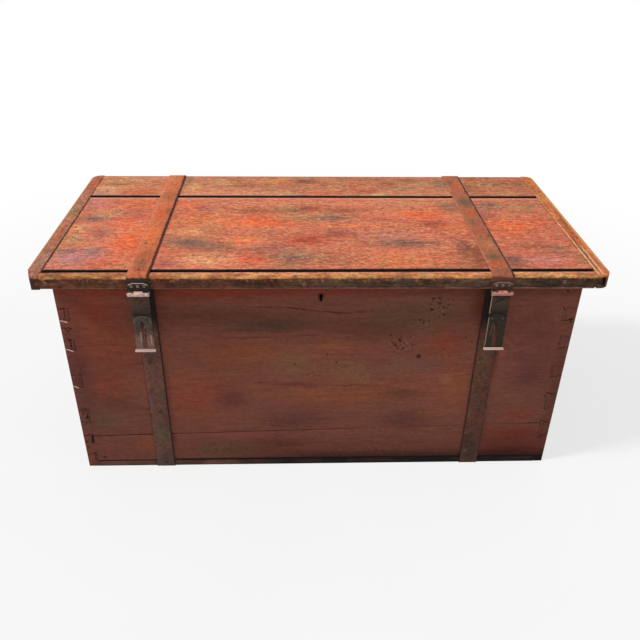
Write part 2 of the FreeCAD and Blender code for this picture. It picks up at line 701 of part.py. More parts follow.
def lock_bolt():
    """Bar with two hooks that point at the loops, and a notch under it for the key."""
    bar_top = RIM - S["bolt_bar_drop"]
    hook_top = RIM - S["bolt_hook_drop"]
    hook_foot = hook_top - S["bolt_hook_height"]
    left = hook_root(LOOPS[0])
    right = hook_root(LOOPS[1])
    width = S["bolt_hook_width"]
    reach = width + S["bolt_hook_reach"]
    half_notch = S["bolt_notch_width"] / 2
    notch_top = BOLT_FOOT + S["bolt_notch_height"]
    outline = [
        (left, BOLT_FOOT), (-half_notch, BOLT_FOOT), (-half_notch, notch_top), (half_notch, notch_top),
        (half_notch, BOLT_FOOT), (right + width, BOLT_FOOT), (right + width, hook_foot),
        (right + reach, hook_foot), (right + reach, hook_top), (right, hook_top), (right, bar_top),
        (left + width, bar_top), (left + width, hook_foot), (left + reach, hook_foot),
        (left + reach, hook_top), (left, hook_top),
    ]
    start_y = LOCK_LINE - S["bolt_thick"] / 2
    node("lock_bolt", padded("lock_bolt_bar", "XZ_Plane", outline, S["bolt_thick"], (0, start_y, 0)))


def key_post():
    seat = INNER_FRONT + S["lock_depth"] - S["lock_wall"]
    start = (0, seat - S["key_post_length"], RIM - S["keyhole_drop"])
    node("lock_key_post", cylinder("key_post", 1, start, S["key_post_radius"], S["key_post_length"]))


def lock_nails():
    places = []
    face = INNER_FRONT + S["lock_wall"]
    middle = RIM - S["lock_height"] / 2
    for side in (-1, 1):
        x = (S["lock_width"] / 2 + S["lock_flange"] / 2) * side
        for way in (-1, 1):
            places.append(((x, face, middle + S["lock_flange_height"] / 4 * way), 1, 1))
    return nail_set("lock_nails", places, NAIL_HEAD, S["nail_length"] - S["lock_wall"])[1]


def lock_catch():
    """Plate let into the underside of the lid, with two loops that drop into the lock."""
    plate_top = LID_FOOT + S["strap_thick"]
    margin = S["catch_margin"]
    across = (LOOPS[0] - margin, LOOPS[1] + margin)
    half_depth = S["catch_depth"] / 2
    back = (LOCK_LINE - half_depth, LOCK_LINE + half_depth)
    parts = [box("catch_plate", across, back, (LID_FOOT, plate_top))]
    holes = []
    half_width = S["loop_width"] / 2
    half_hole = S["loop_hole_width"] / 2
    foot = LID_FOOT - S["loop_length"]
    for number, loop in enumerate(LOOPS, start=1):
        half_thick = S["loop_thick"] / 2
        parts.append(box(f"catch_loop_{number}", (loop - half_thick, loop + half_thick),
                         (LOCK_LINE - half_width, LOCK_LINE + half_width), (foot, LID_FOOT)))
        reach = half_thick + S["overrun"]
        holes.append(box(f"catch_hole_{number}", (loop - reach, loop + reach),
                         (LOCK_LINE - half_hole, LOCK_LINE + half_hole),
                         (foot + S["loop_foot"], foot + S["loop_foot"] + S["loop_hole_height"])))
    places = []
    for x in (across[0] + margin / 2, across[1] - margin / 2):
        places.append(((x, LOCK_LINE, LID_FOOT), 2, -1))
    flat_head = (S["nail_head_top_radius"], S["nail_head_top_radius"] / 2, S["lid_rest_gap"] / 2)
    nail_holes = nail_set("lock_catch_nails", places, flat_head, S["catch_nail_length"])[1]
    node("lock_catch", cut("catch_cut", joined("catch_blank", parts), holes + [nail_holes]))
    seat = box("catch_seat", across, back, (LID_FOOT - S["overrun"], plate_top))
    return [seat, nail_holes]


def handle(name, side, nail_holes):
    """Drop handle on an end board: a bent bar whose ends turn in two nailed eyes."""
    outer = HALF_WIDTH * side
    thick = S["strap_thick"]
    eye_radius = S["handle_rod_radius"] + S["handle_play"] + thick
    axis_x = outer + eye_radius * side
    axis_z = S["handle_height"]
    half_eye = S["eye_width"] / 2
    across = (outer - thick, outer) if side < 0 else (outer, outer + thick)
    eyes = []
    for number, way in enumerate((-1, 1), start=1):
        middle = S["eye_spread"] / 2 * way
        start = (axis_x, middle - half_eye, axis_z)
        barrel = cylinder(f"eye_{name}_{number}_barrel", 1, start, eye_radius, S["eye_width"])
        leaf = box(f"eye_{name}_{number}_leaf", across, (middle - half_eye, middle + half_eye),
                   (axis_z - S["eye_leaf"], axis_z + S["eye_leaf"]))
        bore_start = (axis_x, middle - half_eye - S["overrun"], axis_z)
        bore_radius = S["handle_rod_radius"] + S["handle_play"]
        bore_length = S["eye_width"] + S["overrun"] * 2
        bore = cylinder(f"eye_{name}_{number}_bore", 1, bore_start, bore_radius, bore_length)
        blank = joined(f"eye_{name}_{number}_blank", [barrel, leaf])
        eyes.append(cut(f"eye_{name}_{number}", blank, [bore, nail_holes]))
    node(f"handle_eyes_{name}", group(f"eyes_{name}", eyes))
    inner = S["eye_spread"] / 2 - half_eye - S["handle_tail"]
    half_span = S["handle_span"] / 2
    drop = S["handle_drop"]
    run = half_span - inner
    far = half_span * 2 - run
    corners = ((0, 0), (-run, 0), (-run, -drop), (far, -drop), (far, 0), (inner * 2, 0))
    start = (axis_x, -inner, axis_z)
    bail = bent_rod(f"bail_{name}", corners, S["handle_bend"], S["handle_rod_radius"], start)
    node(f"handle_bail_{name}", bail)


def handle_nails():
    places = []
    for _, side in SIDES:
        face = (HALF_WIDTH + S["strap_thick"]) * side
        for way in (-1, 1):
            for rise in (-1, 1):
                y = S["eye_spread"] / 2 * way
                places.append(((face, y, S["handle_height"] + S["eye_nail_rise"] * rise), 0, side))
    return nail_set("handle_nails", places, NAIL_HEAD, S["nail_length"])[1]


# Heights in the lid, and the across places where its boards meet the battens.
TONGUE_FOOT = LID_FOOT + (S["lid_thick"] - S["tongue_thick"]) / 2
TONGUE_TOP = TONGUE_FOOT + S["tongue_thick"]
BATTEN_INNER = LID_HALF - S["batten_width"]
BOARD_END = BATTEN_INNER - S["lid_end_gap"]
TONGUE_END = BATTEN_INNER + S["tongue_length"]


def lid_board(name, start, depth):
    """A board across the lid with a tongue on each end."""
    right = [(BOARD_END, LID_FOOT), (BOARD_END, TONGUE_FOOT), (TONGUE_END, TONGUE_FOOT),
             (TONGUE_END, TONGUE_TOP), (BOARD_END, TONGUE_TOP), (BOARD_END, LID_TOP)]
    left = [(-x, z) for x, z in reversed(right)]
    return padded(f"{name}_board", "XZ_Plane", right + left, depth, (0, start, 0))


def lid_batten(name, side):
    """A batten across one end of the lid with worn corners, and the cutter for its groove."""
    inner = BATTEN_INNER * side
    outer = LID_HALF * side
    outline = [(inner, LID_FOOT), (outer, LID_FOOT), (outer, LID_TOP), (inner, LID_TOP)]
    body = padded(f"{name}_blank", "XZ_Plane", outline, LID_DEPTH, (0, LID_FRONT, 0))
    round_edges(body, f"{name}_back_corner", S["lid_corner_round"], lies_at({0: outer, 1: LID_DEPTH}))
    if side > 0:
        round_edges(body, f"{name}_front_corner", S["lid_corner_round"], lies_at({0: outer, 1: 0}))
    play = S["tongue_gap"]
    over = S["overrun"]
    floor = TONGUE_END + play
    across = (-floor, over - BATTEN_INNER) if side < 0 else (BATTEN_INNER - over, floor)
    groove = box(f"{name}_groove", across, (LID_FRONT - over, BACK + over),
                 (TONGUE_FOOT - play, TONGUE_TOP + play))
    return body, groove


def corner_clip():
    """Cutter for the clipped left front corner of the lid."""
    over = S["overrun"]
    side = S["lid_corner_clip_side"]
    depth = S["lid_corner_clip_depth"]
    slope = side / depth
    left = -LID_HALF - over
    outline = [(left, -over), (side + slope * over - LID_HALF, -over), (-LID_HALF, depth), (left, depth)]
    height = S["lid_thick"] + over * 2
    return padded("lid_corner_clip", "XY_Plane", outline, height, (0, LID_FRONT, LID_FOOT - over))


def lid_strap(name, side, holes):
    """Strap over the lid, bent down over both edges and rolled into the hinge's middle knuckle."""
    centre = STRAP_CENTRE * side
    half = S["strap_width"] / 2
    thick = S["strap_thick"]
    shoulder = LID_AXIS_Z + KNUCKLE_RADIUS + S["knuckle_side_gap"]
    outline = [(0, 0), (thick, 0), (thick, LID_TOP - LID_FOOT), (thick + LID_DEPTH, LID_TOP - LID_FOOT),
               (thick + LID_DEPTH, shoulder - LID_FOOT), (LID_DEPTH + thick * 2, shoulder - LID_FOOT),
               (LID_DEPTH + thick * 2, LID_TOP - LID_FOOT + thick), (0, LID_TOP - LID_FOOT + thick)]
    start = (centre - half, LID_FRONT - thick, LID_FOOT)
    body = padded(f"lid_strap_{name}_band", "YZ_Plane", outline, S["strap_width"], start)
    inner_z = LID_TOP - LID_FOOT
    bend = S["lid_edge_round"]
    round_edges(body, f"lid_strap_{name}_front_inside", bend, lies_at({1: thick, 2: inner_z}))
    round_edges(body, f"lid_strap_{name}_back_inside", bend, lies_at({1: thick + LID_DEPTH, 2: inner_z}))
    round_edges(body, f"lid_strap_{name}_front_outside", bend + thick, lies_at({1: 0, 2: inner_z + thick}))
    round_edges(body, f"lid_strap_{name}_back_outside", bend + thick,
                lies_at({1: LID_DEPTH + thick * 2, 2: inner_z + thick}))
    middle = strap_spans(centre)[0]
    leaf = (BACK, BACK + thick)
    reach = (LID_AXIS_Z, shoulder)
    parts = [body] + knuckle_parts(f"lid_strap_{name}", middle, LID_AXIS_Y, LID_AXIS_Z, leaf, reach)
    bore = pin_bore(f"lid_strap_{name}_bore", centre, LID_AXIS_Y, LID_AXIS_Z)
    blank = joined(f"lid_strap_{name}_blank", parts)
    node(f"lid_strap_{name}", cut(f"lid_strap_{name}_cut", blank, [bore] + holes))


def on_board(name, share):
    """How far back a share of a lid board lies."""
    start, depth = LID_BOARDS[name]
    return start + depth * share


def lid_strap_nails():
    places = []
    for (_, side), shares in zip(SIDES, (LEFT_LID_NAIL_SHARES, RIGHT_LID_NAIL_SHARES)):
        for board, across, back in shares:
            x = STRAP_CENTRE * side + S["strap_width"] * across
            places.append(((x, on_board(board, back), LID_TOP + S["strap_thick"]), 2, 1))
    return nail_set("lid_strap_nails", places, NAIL_HEAD, S["nail_length"])[1]


def lid_nails():
    """Nails down through the battens into the tongues, and those in the lid's front face."""
    places = []
    for (_, side), shares in zip(SIDES, (LEFT_BATTEN_NAIL_SHARES, RIGHT_BATTEN_NAIL_SHARES)):
        x = (BATTEN_INNER + S["tongue_length"] / 2) * side
        for board, back in shares:
            places.append(((x, on_board(board, back), LID_TOP), 2, 1))
    for across, up in FRONT_FACE_NAIL_SHARES:
        places.append(((LID_HALF * across, LID_FRONT, LID_FOOT + S["lid_thick"] * up), 1, -1))
    return nail_set("lid_nails", places, NAIL_HEAD, S["nail_length"])[1]


def hasp_leaf(name, side, rivet_holes):
    """Leaf riveted over the front of the lid strap, with the two outer knuckles of the hasp."""
    centre = STRAP_CENTRE * side
    half = S["strap_width"] / 2
    leaf = (HASP_FACE - S["strap_thick"], HASP_FACE)
    shoulder = HASP_AXIS_Z + KNUCKLE_RADIUS + S["knuckle_side_gap"]
    plate = arched(f"hasp_leaf_{name}", (centre - half, centre + half), leaf, shoulder,
                   HASP_AXIS_Z + S["leaf_rise"], S["leaf_arch_rise"])
    outers = strap_spans(centre)[1]
    reach = (HASP_AXIS_Z, shoulder)
    parts = [plate] + knuckle_parts(f"hasp_leaf_{name}", outers, HASP_AXIS_Y, HASP_AXIS_Z, leaf, reach)
    bore = pin_bore(f"hasp_leaf_{name}_bore", centre, HASP_AXIS_Y, HASP_AXIS_Z)
    blank = joined(f"hasp_leaf_{name}_blank", parts)
    node(f"hasp_leaf_{name}", cut(f"hasp_leaf_{name}_cut", blank, [bore, rivet_holes]))
    hinge_pin(f"hasp_pin_{name}", centre, HASP_AXIS_Y, HASP_AXIS_Z)


def leaf_rivets():
    places = []
    for _, side in SIDES:
        for step in (-1, 0, 1):
            x = STRAP_CENTRE * side + S["rivet_spacing"] * step
            places.append(((x, HASP_FACE - S["strap_thick"], HASP_AXIS_Z + S["rivet_rise"]), 1, -1))
    return nail_set("hasp_leaf_rivets", places, RIVET_HEAD, S["rivet_length"])[1]


def hasp(name, side):
    """Hanging hasp: an upper plate on the middle knuckle, and a slotted plate riveted over its foot."""
    centre = STRAP_CENTRE * side
    half = S["hasp_width"] / 2
    thick = S["strap_thick"]
    across = (centre - half, centre + half)
    leaf = (HASP_FACE - thick, HASP_FACE)
    face = HASP_FACE - thick
    places = []
    for way in (-1, 1):
        x = centre + S["hasp_rivet_spacing"] / 2 * way
        places.append(((x, face - thick, HASP_AXIS_Z - S["hasp_rivet_drop"]), 1, -1))
    rivet_holes = nail_set(f"hasp_rivets_{name}", places, RIVET_HEAD, thick * 2)[1]
    shoulder = HASP_AXIS_Z - KNUCKLE_RADIUS - S["knuckle_side_gap"]
    middle = strap_spans(centre)[0]
    parts = [box(f"hasp_link_{name}_plate", across, leaf, (HASP_AXIS_Z - S["link_length"], shoulder))]
    reach = (shoulder, HASP_AXIS_Z)
    parts += knuckle_parts(f"hasp_link_{name}", middle, HASP_AXIS_Y, HASP_AXIS_Z, leaf, reach)
    bore = pin_bore(f"hasp_link_{name}_bore", centre, HASP_AXIS_Y, HASP_AXIS_Z)
    blank = joined(f"hasp_link_{name}_blank", parts)
    node(f"hasp_link_{name}", cut(f"hasp_link_{name}_cut", blank, [bore, rivet_holes]))

    foot = HASP_AXIS_Z - S["plate_foot"]
    back = (face - thick, face)
    top = HASP_AXIS_Z - S["plate_top"]
    plate = arched(f"hasp_plate_{name}", across, back, foot, top, S["plate_arch_rise"])
    half_lip = S["lip_width"] / 2
    lip = box(f"hasp_lip_{name}", (centre - half_lip, centre + half_lip),
              (face - thick - S["lip_length"], face), (foot, foot + thick))
    half_slot = S["hasp_slot_width"] / 2
    slot_round = HASP_AXIS_Z - S["hasp_slot_top"] - half_slot
    through = (face - thick - S["overrun"], face + S["overrun"])
    slot = box(f"hasp_slot_{name}", (centre - half_slot, centre + half_slot), through,
               (HASP_AXIS_Z - S["hasp_slot_foot"], slot_round))
    slot_depth = through[1] - through[0]
    slot_top = cylinder(f"hasp_slot_top_{name}", 1, (centre, through[0], slot_round), half_slot, slot_depth)
    opening = joined(f"hasp_opening_{name}", [slot, slot_top])
    plate_blank = joined(f"hasp_plate_{name}_blank", [plate, lip])
    node(f"hasp_plate_{name}", cut(f"hasp_plate_{name}_cut", plate_blank, [opening, rivet_holes]))


def build_body():
    front_upper, front_lower = wall_boards("front", FRONT, FRONT_SEAM_SHARES)
    back_upper, back_lower = wall_boards("back", INNER_BACK, BACK_SEAM_SHARES)
    walls = [front_upper, front_lower, back_upper, back_lower]
    floor_blanks, floor_holes = floor_boards()
    handle_holes = handle_nails()
    end_boards("left_end", -1, LEFT_SEAM_SHARE, walls, floor_holes, handle_holes)
    end_boards("right_end", 1, RIGHT_SEAM_SHARE, walls, floor_holes, handle_holes)
    front_shares = (LEFT_FRONT_NAIL_SHARES, RIGHT_FRONT_NAIL_SHARES)
    front_holes = wall_strap_nails("front_strap_nails", front_shares, FRONT - S["strap_thick"], -1)
    back_shares = (BACK_NAIL_SHARES, BACK_NAIL_SHARES)
    back_holes = wall_strap_nails("back_strap_nails", back_shares, BACK + S["strap_thick"], 1)
    legs = [staple(name, side) for name, side in SIDES]
    flange_holes = lock_nails()
    front_cutters = [front_holes, keyhole(), flange_holes] + legs
    node("front_wall_upper", cut("front_upper_cut", front_upper, front_cutters))
    node("front_wall_lower", cut("front_lower_cut", front_lower, [front_holes]))
    node("back_wall_upper", cut("back_upper_cut", back_upper, [back_holes]))
    node("back_wall_lower", cut("back_lower_cut", back_lower, [back_holes]))
    strap_holes = (front_holes, None, back_holes)
    for name, blank, extra in zip(("front", "middle", "back"), floor_blanks, strap_holes):
        tools = [floor_holes] if extra is None else [floor_holes, extra]
        node(f"floor_board_{name}", cut(f"floor_{name}_cut", blank, tools))
    front_straps(front_holes, legs)
    back_straps(back_holes)
    lock_case(flange_holes)
    lock_bolt()
    key_post()
    for name, side in SIDES:
        handle(name, side, handle_holes)


def build_lid():
    strip = lid_board("lid_front_strip", *LID_BOARDS["front"])
    middle = lid_board("lid_middle_board", *LID_BOARDS["middle"])
    back = lid_board("lid_back_board", *LID_BOARDS["back"])
    edge = S["lid_edge_round"]
    thick_edges = {"lid_front_strip": (strip, 0), "lid_back_board": (back, S["back_board_depth"])}
    for name, (body, y) in thick_edges.items():
        round_edges(body, f"{name}_worn_top", edge, lies_at({1: y, 2: LID_TOP}))
    battens = [lid_batten(f"lid_batten_{name}", side) for name, side in SIDES]
    batten_holes = lid_nails()
    strap_holes = lid_strap_nails()
    rivet_holes = leaf_rivets()
    catch_seat = lock_catch()
    node("lid_front_strip", cut("lid_front_strip_cut", strip, [batten_holes, strap_holes, rivet_holes]))
    node("lid_middle_board", cut("lid_middle_board_cut", middle, [batten_holes, strap_holes] + catch_seat))
    node("lid_back_board", cut("lid_back_board_cut", back, [batten_holes, strap_holes]))
    slot_outer = LID_HALF - S["batten_slot_inset"]
    slot_foot = LID_FOOT + (S["lid_thick"] - S["batten_slot_height"]) / 2
    slot = box("batten_slot", (slot_outer - S["batten_slot_width"], slot_outer),
               (LID_FRONT - S["overrun"], LID_FRONT + S["batten_slot_depth"]),
               (slot_foot, slot_foot + S["batten_slot_height"]))
    for (name, _), (body, groove), worn in zip(SIDES, battens, (corner_clip(), slot)):
        cutters = joined(f"lid_batten_{name}_cutters", [groove, worn])
        node(f"lid_batten_{name}", cut(f"lid_batten_{name}_cut", body, [batten_holes, cutters]))
    for name, side in SIDES:
        lid_strap(name, side, [strap_holes, rivet_holes])
        hasp_leaf(name, side, rivet_holes)
        hasp(name, side)


def check_document():
    """Stop on a failed object, or on a sub-part with no valid shape."""
    for item in doc.Objects:
        if "Invalid" in item.State or "Error" in item.State:
            raise RuntimeError(f"{item.Name} ({item.Label}) failed: {item.State}")
    for name, item in nodes.items():
        shape = item.Shape
        if shape.isNull() or not shape.isValid() or not shape.Solids:
            raise RuntimeError(f"{name} has no valid solid")


def write_parts():
    os.makedirs("parts", exist_ok=True)
    for name, item in nodes.items():
        item.Shape.exportStep(f"parts/{name}.step")
        print(f"{name}: {len(item.Shape.Solids)} solid(s), {item.Shape.Volume:.0f} mm3")


build_body()
build_lid()
doc.recompute()
check_document()
write_parts()
print(f"{len(nodes)} nodes")
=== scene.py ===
import json
import math

import bmesh
import bpy
from mathutils import Matrix, Vector


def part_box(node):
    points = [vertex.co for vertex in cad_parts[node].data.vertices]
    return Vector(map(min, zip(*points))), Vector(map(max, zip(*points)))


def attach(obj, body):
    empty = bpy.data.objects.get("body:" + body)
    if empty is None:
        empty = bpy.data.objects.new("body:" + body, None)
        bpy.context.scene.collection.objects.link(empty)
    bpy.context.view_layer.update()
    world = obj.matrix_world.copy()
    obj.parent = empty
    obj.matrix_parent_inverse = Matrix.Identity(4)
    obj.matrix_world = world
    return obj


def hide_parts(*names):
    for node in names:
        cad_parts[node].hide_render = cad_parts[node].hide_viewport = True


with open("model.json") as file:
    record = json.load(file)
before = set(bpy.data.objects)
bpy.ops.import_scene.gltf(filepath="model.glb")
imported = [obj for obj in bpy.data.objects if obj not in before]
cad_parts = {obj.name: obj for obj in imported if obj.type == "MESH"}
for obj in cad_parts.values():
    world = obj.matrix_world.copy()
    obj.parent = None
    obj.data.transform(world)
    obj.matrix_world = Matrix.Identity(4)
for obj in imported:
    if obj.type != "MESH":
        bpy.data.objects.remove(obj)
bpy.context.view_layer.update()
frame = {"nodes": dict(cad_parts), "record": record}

bl_info = {
    "name": "Painted Trunk",
    "version": (1, 0, 0),
    "blender": (4, 5, 0),
    "location": "3D View > Sidebar > Trunk",
    "description": "Dresses a boarded trunk in worn red paint, aged pine and dark wrought iron",
    "category": "Object",
}

NODES = frame["nodes"]
BODY_OF = {name: body for body, names in frame["record"]["behaviour"]["bodies"].items() for name in names}
STRIP_LOW, STRIP_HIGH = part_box("lid_front_strip")
MIDDLE_LOW, MIDDLE_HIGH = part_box("lid_middle_board")
BACK_LOW, BACK_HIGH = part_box("lid_back_board")
WALL_LOW, WALL_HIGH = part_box("front_wall_upper")
BACK_WALL_LOW, BACK_WALL_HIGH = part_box("back_wall_upper")
LID_TOP = MIDDLE_HIGH.z
LID_UNDER = MIDDLE_LOW.z
# Where the upper hasp plates face forward: a strap and a leaf before the lid's edge.
HASP_FACE = STRIP_LOW.y - 2 * (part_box("lid_strap_left")[1].z - LID_TOP)
HASP_IRON = 0.0025
BOARD_THICK = 0.022

MM = 0.001
# A reach so long that a mask doesn't fade that way.
ENDLESS = 1000
# The stretch of a pattern that is alike in every direction.
EVEN = (1, 1, 1)
# How far each seed moves a pattern, so that two of them differ.
SEED_SHIFT = (3.7, 5.3, 7.9)
# Edges turn by more than SHARP where they are eased, by less than FLAT where they only split a flat
# face, and by more than CREASE where they stay crisp in the shading.
SHARP = math.radians(35)
FLAT = math.radians(0.6)
CREASE = math.radians(32)


# Stains on the paint

# What each tone does to the red, green and blue of the paint under it.
TONES = {
    "bright": (1.32, 0.86, 0.50), "red": (1.08, 0.74, 0.64), "dark red": (0.74, 0.48, 0.46),
    "orange": (1.18, 1.12, 0.78), "ochre": (1.15, 1.62, 1.30), "tan": (1.00, 1.35, 1.20),
    "salmon": (1.15, 1.22, 1.30), "mauve": (0.90, 1.15, 1.60), "grey": (0.56, 0.86, 1.00),
    "dark grey": (0.42, 0.64, 0.78), "olive": (0.68, 1.05, 0.85), "brown": (0.66, 0.68, 0.60),
    "dark brown": (0.44, 0.46, 0.44), "plum": (0.64, 0.64, 0.84), "light": (1.32, 1.26, 1.20),
    "streak": (0.72, 0.68, 0.68), "hole": (0.10, 0.07, 0.07),
}

# Soft stains in each tone, in millimetres. On the lid and its straps a stain has how
# far across it is, how far back, its half width and its half depth. On a wall and its straps it has
# how far across, how far up, its half width and its half height.

MIDDLE_STAINS = {
    "mauve": ((-515, 70, 60, 55), (-465, -205, 100, 70), (-500, -215, 75, 50), (150, -108, 110, 35),
              (450, -225, 80, 40)),
    "orange": ((-410, 70, 65, 50), (-260, -20, 120, 60), (-155, -130, 60, 35), (300, -70, 55, 40),
               (110, -55, 150, 16), (170, -220, 140, 50)),
    "tan": ((-475, 20, 60, 40), (210, 76, 160, 22)),
    "salmon": ((-430, -100, 120, 120), (50, 72, 120, 22), (245, -110, 55, 35)),
    "grey": ((-490, -15, 60, 35), (-455, -180, 38, 22), (-515, -180, 35, 20), (-282, -133, 100, 36),
             (-255, -146, 95, 26), (-220, -168, 100, 30), (-55, -205, 100, 55), (30, -10, 100, 40),
             (170, -145, 120, 32), (492, -178, 52, 36)),
    "dark grey": ((-493, -18, 26, 20), (312, 55, 55, 55), (400, 58, 62, 40), (384, -228, 40, 48)),
    "ochre": ((-515, -70, 45, 32), (-265, -85, 70, 28), (-225, -215, 90, 45)),
    "plum": ((-460, -100, 40, 50), (-255, 45, 35, 30), (-45, 34, 45, 30), (-300, -235, 45, 30),
             (-50, -215, 60, 30), (-95, -165, 85, 32), (20, -14, 60, 24), (185, -150, 110, 30),
             (298, -150, 35, 60), (40, -95, 60, 30), (385, 10, 32, 55)),
    "olive": ((-512, -128, 52, 35), (-60, 36, 75, 40), (-55, -12, 65, 28), (-65, -248, 55, 18),
              (480, 50, 70, 50), (524, -225, 22, 45)),
    "bright": ((-395, -120, 65, 140), (-128, -44, 100, 40), (235, 12, 95, 45), (425, -62, 90, 75)),
    "red": ((-430, -35, 60, 50), (-425, -235, 70, 30), (-295, 65, 60, 35), (-130, -8, 70, 28),
            (-140, -218, 65, 40), (500, -40, 45, 60)),
    "brown": ((-140, 28, 120, 35), (60, 30, 90, 30), (20, -220, 50, 50), (435, -158, 75, 28)),
    "dark red": ((-18, 45, 45, 30), (-25, -130, 70, 45), (250, -46, 65, 28)),
    "dark brown": ((314, -205, 58, 105),),
}

BACK_STAINS = {
    "tan": ((-460, 220, 90, 40), (-240, 210, 60, 30), (60, 210, 40, 24), (270, 200, 55, 28),
            (470, 140, 60, 28)),
    "ochre": ((-500, 170, 55, 20), (-300, 170, 28, 55), (-85, 138, 50, 24), (155, 130, 35, 20)),
    "mauve": ((-510, 140, 55, 25),),
    "red": ((-420, 145, 60, 45), (20, 135, 70, 32), (100, 185, 50, 24)),
    "brown": ((-480, 195, 60, 12), (-200, 225, 40, 22), (-165, 186, 110, 18), (240, 228, 60, 18),
              (130, 232, 70, 16), (390, 175, 38, 65), (500, 200, 60, 45)),
    "grey": ((-317, 225, 30, 50), (316, 200, 34, 55)),
    "salmon": ((-200, 132, 160, 30),),
    "orange": ((-100, 212, 60, 30),),
    "dark brown": ((-28, 218, 50, 28),),
    "dark red": ((115, 155, 75, 30), (180, 200, 50, 28)),
    "olive": ((212, 170, 60, 22), (440, 205, 50, 35)),
}

LEFT_BATTEN_STAINS = {
    "red": ((-545, 200, 30, 70),), "olive": ((-550, 20, 30, 60),), "orange": ((-553, -95, 22, 60),),
    "mauve": ((-545, -235, 30, 60),),
}

RIGHT_BATTEN_STAINS = {
    "orange": ((547, 205, 30, 60),), "ochre": ((545, 110, 30, 50),), "brown": ((550, -40, 12, 100),),
    "olive": ((537, -200, 12, 90),), "salmon": ((554, -210, 12, 80),),
}

LEFT_STRAP_STAINS = {
    "tan": ((-355, 220, 24, 45),), "brown": ((-348, 110, 28, 45), (-350, -205, 30, 40)),
    "red": ((-350, 10, 28, 60),), "orange": ((-350, -100, 24, 70),), "plum": ((-350, -260, 30, 30),),
}

RIGHT_STRAP_STAINS = {
    "bright": ((348, 180, 26, 45), (352, 10, 22, 40), (348, -245, 24, 20)), "grey": ((350, 75, 28, 45),),
    "brown": ((342, -40, 22, 30),), "red": ((350, -85, 24, 30),), "ochre": ((350, -155, 24, 35),),
    "olive": ((348, -210, 28, 28),), "plum": ((350, -278, 30, 20),),
}

FRONT_STAINS = {
    "light": ((-230, 215, 200, 170), (20, 225, 250, 160), (250, 215, 150, 170), (430, 310, 150, 200)),
    "red": ((-440, 340, 130, 180), (-450, 420, 80, 60), (-230, 445, 220, 22), (-270, 200, 110, 100),
            (-450, 220, 70, 60), (445, 135, 65, 30), (440, 85, 70, 35), (260, 330, 60, 70)),
    "dark red": ((450, 40, 160, 105), (440, 30, 120, 35), (322, 420, 34, 70)),
    "plum": ((-505, 250, 45, 280), (-190, 190, 55, 50), (-50, 130, 120, 45), (200, 130, 80, 50),
             (440, 330, 120, 140), (450, 240, 70, 60)),
    "brown": ((-250, 400, 190, 40), (-90, 385, 170, 40), (-90, 60, 120, 35), (100, 365, 150, 50),
              (180, 200, 80, 24), (514, 200, 28, 280)),
    "grey": ((-110, 375, 140, 25),),
    "orange": ((-150, 310, 140, 50), (-45, 200, 100, 30), (-385, 60, 45, 35), (295, 220, 50, 90),
               (80, 200, 120, 45), (230, 140, 40, 26), (30, 330, 70, 24)),
    "tan": ((-55, 285, 75, 55), (70, 260, 80, 45), (170, 275, 55, 35)),
    "olive": ((-215, 50, 120, 35), (-470, 130, 60, 50), (200, 400, 160, 60)),
    "mauve": ((225, 270, 40, 28),),
    "ochre": ((270, 240, 22, 20),),
}

# Soft streaks in the grain of the front.
FRONT_STREAKS = {
    "streak": ((-158, 365.5, 70, 3.5), (-85, 362, 50, 4.5), (-30, 352, 45, 3.5), (-140, 347, 100, 3.5),
               (-120, 234, 45, 3.5), (-20, 220, 45, 6), (50, 224.5, 100, 4)),
    "plum": ((-45, 227, 75, 9),),
}

LEFT_BAND_STAINS = {
    "brown": ((-350, 300, 30, 50),), "olive": ((-350, 100, 30, 80),), "grey": ((-350, 20, 30, 50),),
}

RIGHT_BAND_STAINS = {
    "ochre": ((345, 300, 30, 80),), "tan": ((345, 190, 30, 100),), "dark grey": ((345, 40, 30, 80),),
}


# Marks, in millimetres

# Where ochre undercoat shows through in scratches: across, back, half width and half depth.
OCHRE_SCRATCHES = ((-225, -225, 95, 45), (-515, -100, 35, 75), (-455, 10, 55, 45))

# Dark ends of the battens' tenons in the strip's face: across, half width and colour.
STRIP_BLOCKS = ((551.5, 7.5, (0.010, 0.006, 0.004)), (-556, 12, (0.035, 0.018, 0.012)))

# Thin lines along the battens: across and back at both ends, width and colour. The dark line in the left
# batten's inner joint is partly a dark joint, partly painted shade; the two pale lines at 535 along the right
# batten's inner edge are painted highlight.
LEFT_BATTEN_LINES = ((-534.5, 240, -534.5, -280, 1.6, (0.06, 0.03, 0.022)),)
RIGHT_BATTEN_LINES = (
    (535, 160, 535, -40, 1.4, (0.62, 0.32, 0.15)), (535.2, -40, 535.2, -285, 2, (0.84, 0.58, 0.36)),
    (545, -160, 544.5, -285, 2, (0.80, 0.52, 0.32)), (556, 120, 556, -250, 2.2, (0.72, 0.36, 0.14)),
    (539.5, -100, 540, -260, 2, (0.20, 0.085, 0.045)),
)

# Old nail holes in the lid's straps: across, back and radius.
STRAP_HOLES = ((-355.5, -149.3, 4.5), (-348, -267, 4), (359.8, -114.1, 4), (366, 141, 5), (350, -273, 3.5))

# Rusted bands across the right strap, and a rusted foot on the left, given as the scratches are.
STRAP_RUST = ((350, 75, 26, 40), (345, -215, 26, 22), (338, 205, 14, 30), (-350, -235, 20, 20),
              (-337, 20, 10, 30))

# Speckled drifts and knots of the front: across, up, half width, half height, how pale and how dark.
SPECKLED = (
    (-10, 262, 85, 35, 0.45, 0.25), (90, 262, 60, 32, 0.5, 0.3), (255, 303, 35, 24, 0.5, 0.3),
    (105, 238, 50, 18, 0.5, 0.2), (-210, 48, 85, 34, 0.35, 0.3), (120, 175, 90, 60, 0.25, 0.15),
    (100, 35, 160, 20, 0.25, 0.35), (241, 420, 48, 42, 0.6, 1.0), (211, 380, 26, 20, 0.6, 0.9),
    (168, 330, 48, 40, 0.6, 1.0),
)

